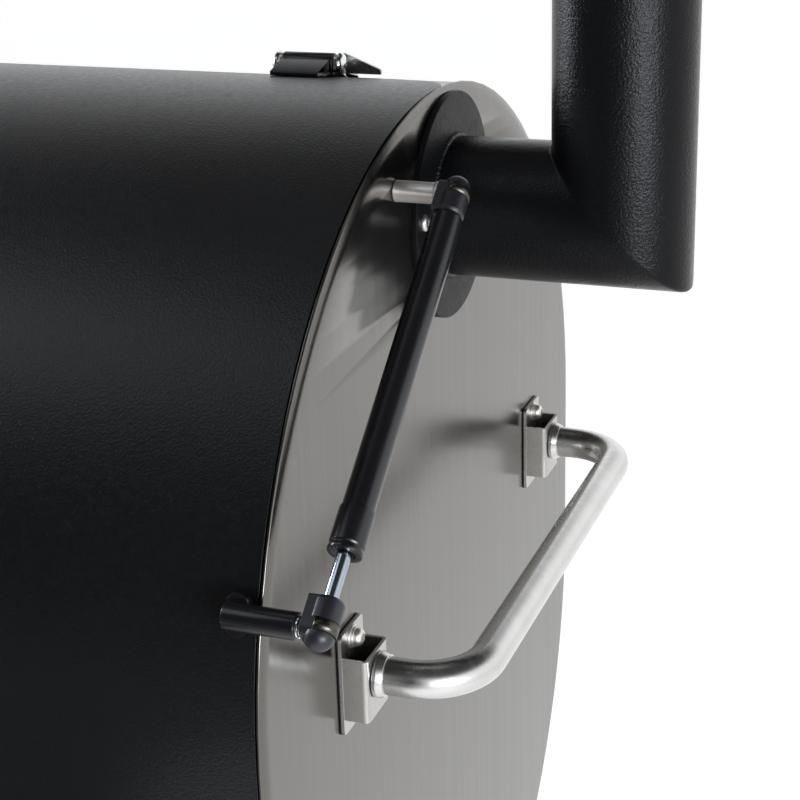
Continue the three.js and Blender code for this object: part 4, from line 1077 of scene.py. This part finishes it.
needle_turn = DIAL @ Matrix.Rotation(radians(SWEEP_START), 4, "Z")
outline = [(-9, -1.5), (0, -1.9), (26, -0.35), (26, 0.35), (0, 1.9), (-9, 1.5)]
needle = slab(outline, 7.6, 8.3, needle_turn)
corners = [(0, 5.5), (2, 5.5), (2, 7.4), (4.2, 7.4), (4.2, 9.2), (0, 9.6)]
hub = turned(corners, [0, 0, 0, 0.3, 0.8, 0], 3, GAUGE_BASE, GAUGE_OUT, 40)
build("gauge_needle", merge(needle, hub), GLOSS_BLACK, node="thermometer_pointer")

# ---- firebox

DOOR = Sizes(half=146.0, bottom=-348.0, top=-112.0, sheet=3.0, hinge_y=156.0, hinge_out=8.0)
DOOR_MIDDLE = (DOOR.bottom + DOOR.top) / 2
VENT = Sizes(z=-230.0, disc=48.0, ring=28.0, radius=13.0)
DOOR_X = FIREBOX.left - DOOR.hinge_out
FUEL = rectangle(-125, 125, -330, -130, 20)
ASH_SLOT = rectangle(-121, 121, -423, -371, 3)
fire_rise = sqrt(FIRE_LID.pivot_r**2 - FIRE_LID.pivot_y**2)
FIRE_PIVOT = Vector((0, FIRE_LID.pivot_y, FIREBOX.axis + fire_rise))

build("firebox_wrapper", wrapper(FIREBOX, FIRE_LID), COAT, node="firebox_shell", sheet=SHEET, bevel=0.4)
fire_lid = lid_sheet(FIREBOX, FIRE_LID)
build("firebox_lid_sheet", fire_lid, COAT, node="firebox_lid", sheet=SHEET, bevel=0.5)
end_pan("firebox_inner_pan", "firebox_cap_inner", FIREBOX, FIRE_LID, 1, [THROAT])
end_pan("firebox_outer_pan", "firebox_cap_outer", FIREBOX, FIRE_LID, -1, [FUEL, ASH_SLOT], COAT)


def on_firebox(y, lift):
    return (y, FIREBOX.axis + sqrt(FIREBOX.radius**2 - y * y) + lift)


def fire_hinge(x, half, web):
    barrel = tube(*along_x(FIRE_PIVOT, x - half, x + half), 6.0, 2.5, 0.6)
    return merge(barrel, slab(rounded(web, 0.6, 2, closed=True), x - half + 0.5, x + half - 0.5, YZ))


fixed_web = [on_firebox(36, -0.5), on_firebox(58, -0.5), on_firebox(58, 2)]
fixed_web += [(44, FIRE_PIVOT.z + 4), (37, FIRE_PIVOT.z)]
moving_web = [on_firebox(12, -0.5), on_firebox(29, -0.5), on_firebox(31, 1.4)]
moving_web += [(36.2, FIRE_PIVOT.z - 4.5), (36.2, FIRE_PIVOT.z + 4.5), on_firebox(12, 2.5)]
for kind, half, web, body, places in (
    ("lug", 10, fixed_web, "smoker_body", (-998.0, -1232.0)),
    ("knuckle", 15, moving_web, "firebox_lid", (-970.0, -1260.0)),
):
    for k, x in enumerate(places):
        build(f"firebox_hinge_{kind}_{k + 1}", fire_hinge(x, half, web), COAT, body, bevel=0.4)
hinge_rod = rod(*along_x(FIRE_PIVOT, -945, -1285), 2.8, 1.0)
build("firebox_hinge_pin", hinge_rod, TUBE_STEEL, node="firebox_hinge_rod")


def vents(phase):
    angles = [phase + i * 2 * pi / 3 for i in range(3)]
    return [circle(VENT.ring * cos(a), VENT.z + VENT.ring * sin(a), VENT.radius, 32) for a in angles]


def door_panel():
    inner = FIREBOX.left - GAP
    outer = inner - DOOR.sheet
    outline = rectangle(-DOOR.half, DOOR.half, DOOR.bottom, DOOR.top, 22, 8)
    panel = slab(outline, outer, inner, YZ, vents(0))
    leaf_outline = rectangle(100, DOOR.hinge_y - 4, DOOR_MIDDLE - 58, DOOR_MIDDLE + 58, 6)
    leaf = slab(leaf_outline, outer - 3, outer, YZ)
    ends = [(DOOR_X, DOOR.hinge_y, DOOR_MIDDLE + s * 59) for s in (-1, 1)]
    return merge(panel, leaf, tube(*ends, 7.0, 3.4, 0.8))


build("fuel_door_panel", door_panel(), COAT, node="firebox_door", bevel=0.8)
for k, low in enumerate((-70, 60)):
    z = (DOOR_MIDDLE + low, DOOR_MIDDLE + low + 10)
    lug = merge(
        rod((DOOR_X, DOOR.hinge_y, z[0]), (DOOR_X, DOOR.hinge_y, z[1]), 7, 0.8),
        box((DOOR_X, DOOR.hinge_y - 4, z[0] + 0.5), (FIREBOX.left + 1, DOOR.hinge_y + 4, z[1] - 0.5)),
    )
    build(f"fuel_door_lug_{k + 1}", lug, COAT, "smoker_body", bevel=0.5)
pin_ends = [(DOOR_X, DOOR.hinge_y, DOOR_MIDDLE + s * 72) for s in (-1, 1)]
door_pin = rod(*pin_ends, 3.0, 0.8)
build("fuel_door_pin", door_pin, TUBE_STEEL, "smoker_body")
for k, dz in enumerate((-42, 0, 42)):
    head = button_head((FIREBOX.left - GAP - DOOR.sheet - 3, 122, DOOR_MIDDLE + dz), -X, 4.6, 2.6)
    build(f"fuel_door_screw_{k + 1}", head, TUBE_STEEL, "firebox_door")

damper_low, _ = span("air_damper")
disc_face = FIREBOX.left - DOOR.sheet - 2 * GAP


def damper_disc():
    disc = slab(circle(0, VENT.z, VENT.disc, 72), disc_face - 2, disc_face, YZ, vents(pi / 3))
    tab = slab(rectangle(-7, 7, -186, -168, 2), disc_face - 2, disc_face, YZ)
    lip = box((damper_low.x, -7, -170), (disc_face, 7, -168))
    return merge(disc, tab, lip)


build("vent_damper", damper_disc(), SHELF_STEEL, node="air_damper", bevel=0.4)
nut = hex_nut((disc_face - 2.2, 0, VENT.z), -X, 12, 5)
build("vent_damper_nut", nut, TUBE_STEEL, "firebox_door", bevel=0.5)


def bar_handle(centre, along, out, half, post, radius):
    """A grip with rounded ends on two waisted posts, each on a round foot."""
    centre = Vector(centre)
    grip_line = centre + out * post
    shapes = [rod(grip_line - along * half, grip_line + along * half, radius, 2.5, 48)]
    for side in (-1, 1):
        base = centre + along * side * (half - 12)
        wide, slim = radius * 1.15, radius * 0.55
        corners = [(0, 0), (wide, 0), (wide, 2.5), (slim, 6), (slim, post), (0, post)]
        shapes.append(turned(corners, [0, 0.5, 0.8, 3, 0, 0], 4, base, out, 40))
    return merge(*shapes)


door_handle = bar_handle((disc_face, -112, DOOR_MIDDLE), Z, -X, 65, 42, 9)
build("fuel_door_grip", door_handle, TUBE_STEEL, node="firebox_door_handle")
fire_middle = (FIREBOX.left + FIREBOX.right) / 2
lid_bar = bar_handle((fire_middle, -FIREBOX.radius - GAP, FIREBOX.axis - 12), X, -Y, 110, 48, 10)
build("firebox_lid_grip", lid_bar, TUBE_STEEL, node="firebox_lid_handle")

# ---- cart

LEG = Sizes(half=20.0, wall=2.0, corner=4.0)


def square_tube(node):
    """A leg with rounded corners, cut at its top to the chamber's round underside."""
    low, high = span(node)
    x, y = (low.x + high.x) / 2, (low.y + high.y) / 2
    half = LEG.half
    ring = rectangle(x - half, x + half, y - half, y + half, LEG.corner, 5)
    ring = [Vector(p) for p in ring]
    fine = []
    for p, q in zip(ring, ring[1:] + ring[:1]):
        steps = max(1, round((q - p).length / 6))
        fine += [p + (q - p) * i / steps for i in range(steps)]
    rows = []
    for level in (0.0, 1.0):
        row = []
        for p in fine:
            top = -CHAMBER.drop - sqrt((CHAMBER.radius + 1) ** 2 - p.y**2)
            row.append((p.x, p.y, low.z if level == 0 else top))
        rows.append(row)
    return grid(rows, wrap=True)


for node in ("leg_right_front", "leg_right_rear", "leg_left_front", "leg_left_rear"):
    build(node.replace("leg", "post"), square_tube(node), COAT, node=node, sheet=LEG.wall, bevel=0.3)


def saddle(x, side):
    """A folded plate that ties a leg to the chamber."""
    y = side * 215.0
    points = []
    for i in range(9):
        v = y - 34 + 68 * i / 8
        points.append((v, -CHAMBER.drop - sqrt(CHAMBER.radius**2 - v * v) - GAP))
    under = [(v, z - 3) for v, z in reversed(points)]
    return slab(points + under, x - 30, x + 30, YZ)


for name, x in (("right", -110.0), ("left", -790.0)):
    for end, side in (("front", -1), ("rear", 1)):
        build(f"saddle_{name}_{end}", saddle(x, side), COAT, "smoker_body", bevel=0.6)


def foot_shape(node):
    low, high = span(node)
    centre = ((low.x + high.x) / 2, (low.y + high.y) / 2, low.z)
    corners = [(0, 0), (24, 0), (25, 2), (25, 6), (20, 10), (10, 13)]
    corners += [(10, 16), (9, 16), (9, 25), (20, 25), (20, 30), (0, 30)]
    return turned(corners, [0, 1, 1, 2, 3, 1, 0, 0, 0, 1, 1, 0], 4, centre, Z)


WHEEL = Sizes(radius=101.6, half=22.0, bore=8.4, lugs=56)


def tyre(y, x, z):
    """A tyre with rounded shoulders, two grooves and a row of lugs on each shoulder."""
    r, half = WHEEL.radius, WHEEL.half
    section = [(80, -half + 3), (88, -half), (96, -half), (r - 1.5, -half + 4), (r, -half + 8)]
    section += [(r, -9), (r - 3, -8), (r - 3, -5), (r, -4), (r, 4), (r - 3, 5), (r - 3, 8), (r, 9)]
    section += [(r, half - 8), (r - 1.5, half - 4), (96, half), (88, half), (80, half - 3)]
    sides = WHEEL.lugs * 6
    rows = []
    for i in range(sides + 1):
        angle = 2 * pi * (i % sides) / sides
        cut = 2.6 if i % 6 in (0, 1) else 0.0
        ring = []
        for radius, h in section:
            shoulder = abs(h) > 10 and radius > 95
            reach = radius - (cut if shoulder else 0)
            ring.append((x + reach * cos(angle), y + h, z + reach * sin(angle)))
        rows.append(ring)
    return grid(rows)


def wheel_disc(y, x, z):
    """A dished disc with five windows, a rolled rim and a hub on each side."""
    windows = []
    for i in range(5):
        start = i * 72
        outer = arc(0, 0, 66, start + 9, start + 63, 12)
        inner = arc(0, 0, 38, start + 60, start + 12, 8)
        windows.append([tuple(p) for p in rounded(outer + inner, 0, closed=True)])
    ring = circle(0, 0, 78, 96)
    hole = circle(0, 0, WHEEL.bore, 32)
    place = basis(X, Z, -Y, (x, y, z))
    disc = slab(ring, -5, 5, place, [hole, *windows])
    rim = [(76, -17), (82, -19), (82, 19), (76, 17), (74, 14), (74, -14)]
    rim_ring = turned(rim, 1.5, 3, (x, y, z), Y, 96, closed=True)
    bore, half = WHEEL.bore, WHEEL.half
    hub = [(bore, -half), (20, -half), (24, -half + 6), (28, -6)]
    hub += [(28, 6), (24, half - 6), (20, half), (bore, half)]
    hub_ring = turned(hub, [0.5, 3, 4, 4, 4, 4, 3, 0.5], 4, (x, y, z), Y, 64, closed=True)
    return merge(disc, rim_ring, hub_ring)


for end, side in (("front", -1), ("rear", 1)):
    build(f"levelling_foot_{end}", foot_shape(f"foot_{end}"), BLACK_PLASTIC, node=f"foot_{end}")
    centre = middle(f"wheel_{end}")
    build(f"tyre_{end}", tyre(centre.y, centre.x, centre.z), RUBBER, node=f"wheel_{end}", angle=40)
    disc = wheel_disc(centre.y, centre.x, centre.z)
    build(f"wheel_hub_{end}", disc, HUB_PLASTIC, f"wheel_{end}", bevel=0.8)

axle_low, axle_high = span("axle")
AXLE = middle("axle")
axle_bar = rod((AXLE.x, axle_low.y + 3, AXLE.z), (AXLE.x, axle_high.y - 3, AXLE.z), 8.0, 0.8)
caps = []
for side, y in ((-1, axle_low.y), (1, axle_high.y)):
    corners = [(0, 0), (8, 0), (13, 2.4), (14, 4.5), (14, 6), (0, 6)]
    caps.append(turned(corners, [0, 3, 2, 1, 0, 0], 4, (AXLE.x, y, AXLE.z), -Y * side, 48))
build("axle_bar", merge(axle_bar, *caps), TUBE_STEEL, node="axle")

for material, bevel, nodes in (
    (COAT, 1.4, ["bottom_shelf"]),
    (SHELF_STEEL, 1.2, ["front_shelf"]),
    (GALVANISED, 0.8, ["grate_rail_front", "grate_rail_rear"]),
    (GALVANISED, 0.7, ["grease_tray_holder", "grease_tray", "ash_tray"]),
    (CAST_IRON, 1.8, ["cooking_grate_left", "cooking_grate_right", "charcoal_grate"]),
):
    for node in nodes:
        dress(node, material, bevel)

for k, x in enumerate((-760.0, -450.0, -140.0)):
    head = button_head((x, -CHAMBER.radius - 2.4, -112), -Y, 5.0, 3.0)
    build(f"shelf_screw_{k + 1}", head, TUBE_STEEL, "smoker_body")

# ---- floor, light and camera

CAMERA_PLACE = Vector((361.9, -1041.2, 520.7))
CAMERA_AZIMUTH, CAMERA_ELEVATION, CAMERA_ROLL = 20.748, 20.81, -1.721
CAMERA_LENS = 80.78
SENSOR = 36.0


def make_camera():
    azimuth, elevation, roll = (radians(a) for a in (CAMERA_AZIMUTH, CAMERA_ELEVATION, CAMERA_ROLL))
    ahead = Vector(
        (-sin(azimuth) * cos(elevation), cos(azimuth) * cos(elevation), -sin(elevation))
    )
    level = ahead.cross(Z).normalized()
    upright = level.cross(ahead)
    right = level * cos(roll) + upright * sin(roll)
    up = right.cross(ahead)
    data = bpy.data.cameras.new("photo_camera")
    data.lens = CAMERA_LENS
    data.sensor_width = SENSOR
    made = add("photo_camera", data)
    made.matrix_world = basis(right, up, -ahead, TO_ROW @ CAMERA_PLACE)
    bpy.context.scene.camera = made


DARK_SIDE = (-0.454, -0.891, 0)  # the left front, where the room is unlit and the floor's painted glow fades
DARK_SECTOR = (0.5, 0.88)  # cosines of the angles from it where the dark starts and is full


def make_floor():
    """A pale floor that glows with painted light, its glow fading to painted shade towards the left
    front.
    """
    half = 60.0
    mesh = bpy.data.meshes.new("floor")
    corners = [(-half, -half, 0), (half, -half, 0), (half, half, 0), (-half, half, 0)]
    mesh.from_pydata(corners, [], [(0, 1, 2, 3)])
    floor = add("floor", mesh)
    surface = Finish("glowing_floor", (0.5, 0.5, 0.5), 0.9)
    heading = surface.node("ShaderNodeVectorMath", operation="NORMALIZE")
    surface.link(surface.place(), heading.inputs[0])
    far = surface.spread(surface.dot(surface.place(), DARK_SIDE), 0.0, 1.0, -0.4, 2.6, smooth=True)
    sideways = surface.dot(heading.outputs["Vector"], DARK_SIDE)
    inside = surface.spread(sideways, 0.0, 1.0, *DARK_SECTOR, smooth=True)
    # Painted light: the floor's own glow is 0.82, falling to 0.02 as painted shade far out in the
    # left-front sector.
    glow = surface.spread(surface.math("MULTIPLY", far, inside), 0.82, 0.02, 0.0, 1.0)
    surface.shader["Emission Color"].default_value = (1, 1, 1, 1)
    surface.link(glow, surface.shader["Emission Strength"])
    mesh.materials.append(surface.material)


def softbox(name, target, angles, distance, size, radiance, color):
    """A square light seen from its target at an azimuth, counted from the rear, and an elevation."""
    a, e = (radians(angle) for angle in angles)
    towards = Vector((-sin(a) * cos(e), cos(a) * cos(e), sin(e)))
    data = bpy.data.lights.new(name, "AREA")
    data.shape = "RECTANGLE"
    data.size, data.size_y = size
    data.energy = radiance * pi * size[0] * size[1]
    data.color = color
    made = add(name, data)
    made.location = Vector(target) + towards * distance
    made.rotation_euler = (-towards).to_track_quat("-Z", "Y").to_euler()
    made.visible_camera = False


def make_light():
    """A bright low surround that is dark on the left front and overhead, and four soft boxes."""
    world = bpy.data.worlds.new("studio")
    world.use_nodes = True
    bpy.context.scene.world = world
    sky = Nodes(world.node_tree)
    background = world.node_tree.nodes["Background"].inputs
    background["Color"].default_value = (0.97, 0.985, 1, 1)
    direction = sky.node("ShaderNodeTexCoord").outputs["Generated"]
    parts = sky.node("ShaderNodeSeparateXYZ")
    sky.link(direction, parts.inputs["Vector"])
    beside = sky.spread(sky.dot(direction, DARK_SIDE), 1.0, 0.0, *DARK_SECTOR, smooth=True)
    low = sky.spread(parts.outputs["Z"], 1.0, 0.0, 0.36, 0.7, smooth=True)
    lit = sky.math("MULTIPLY", beside, low)
    sky.link(sky.math("MULTIPLY_ADD", lit, 1.12, 0.05), background["Strength"])
    body, elbow = (0.3, 0.0, 1.0), (0.73, 0.1, 1.3)
    softbox("left_front", body, (134, 55), 3.2, (1.7, 1.35), 1.2, (0.88, 0.93, 1.0))
    softbox("right_front", elbow, (-139, -7), 2.1, (1.1, 0.6), 17.0, (0.86, 0.91, 1.0))
    softbox("left", elbow, (92, 10), 2.4, (0.9, 0.8), 20.0, (0.86, 0.91, 1.0))
    softbox("overhead", body, (20, 80), 3.0, (1.6, 1.0), 0.4, (1, 1, 1))


make_camera()
make_floor()
make_light()
bpy.context.scene.view_settings.view_transform = "Standard"
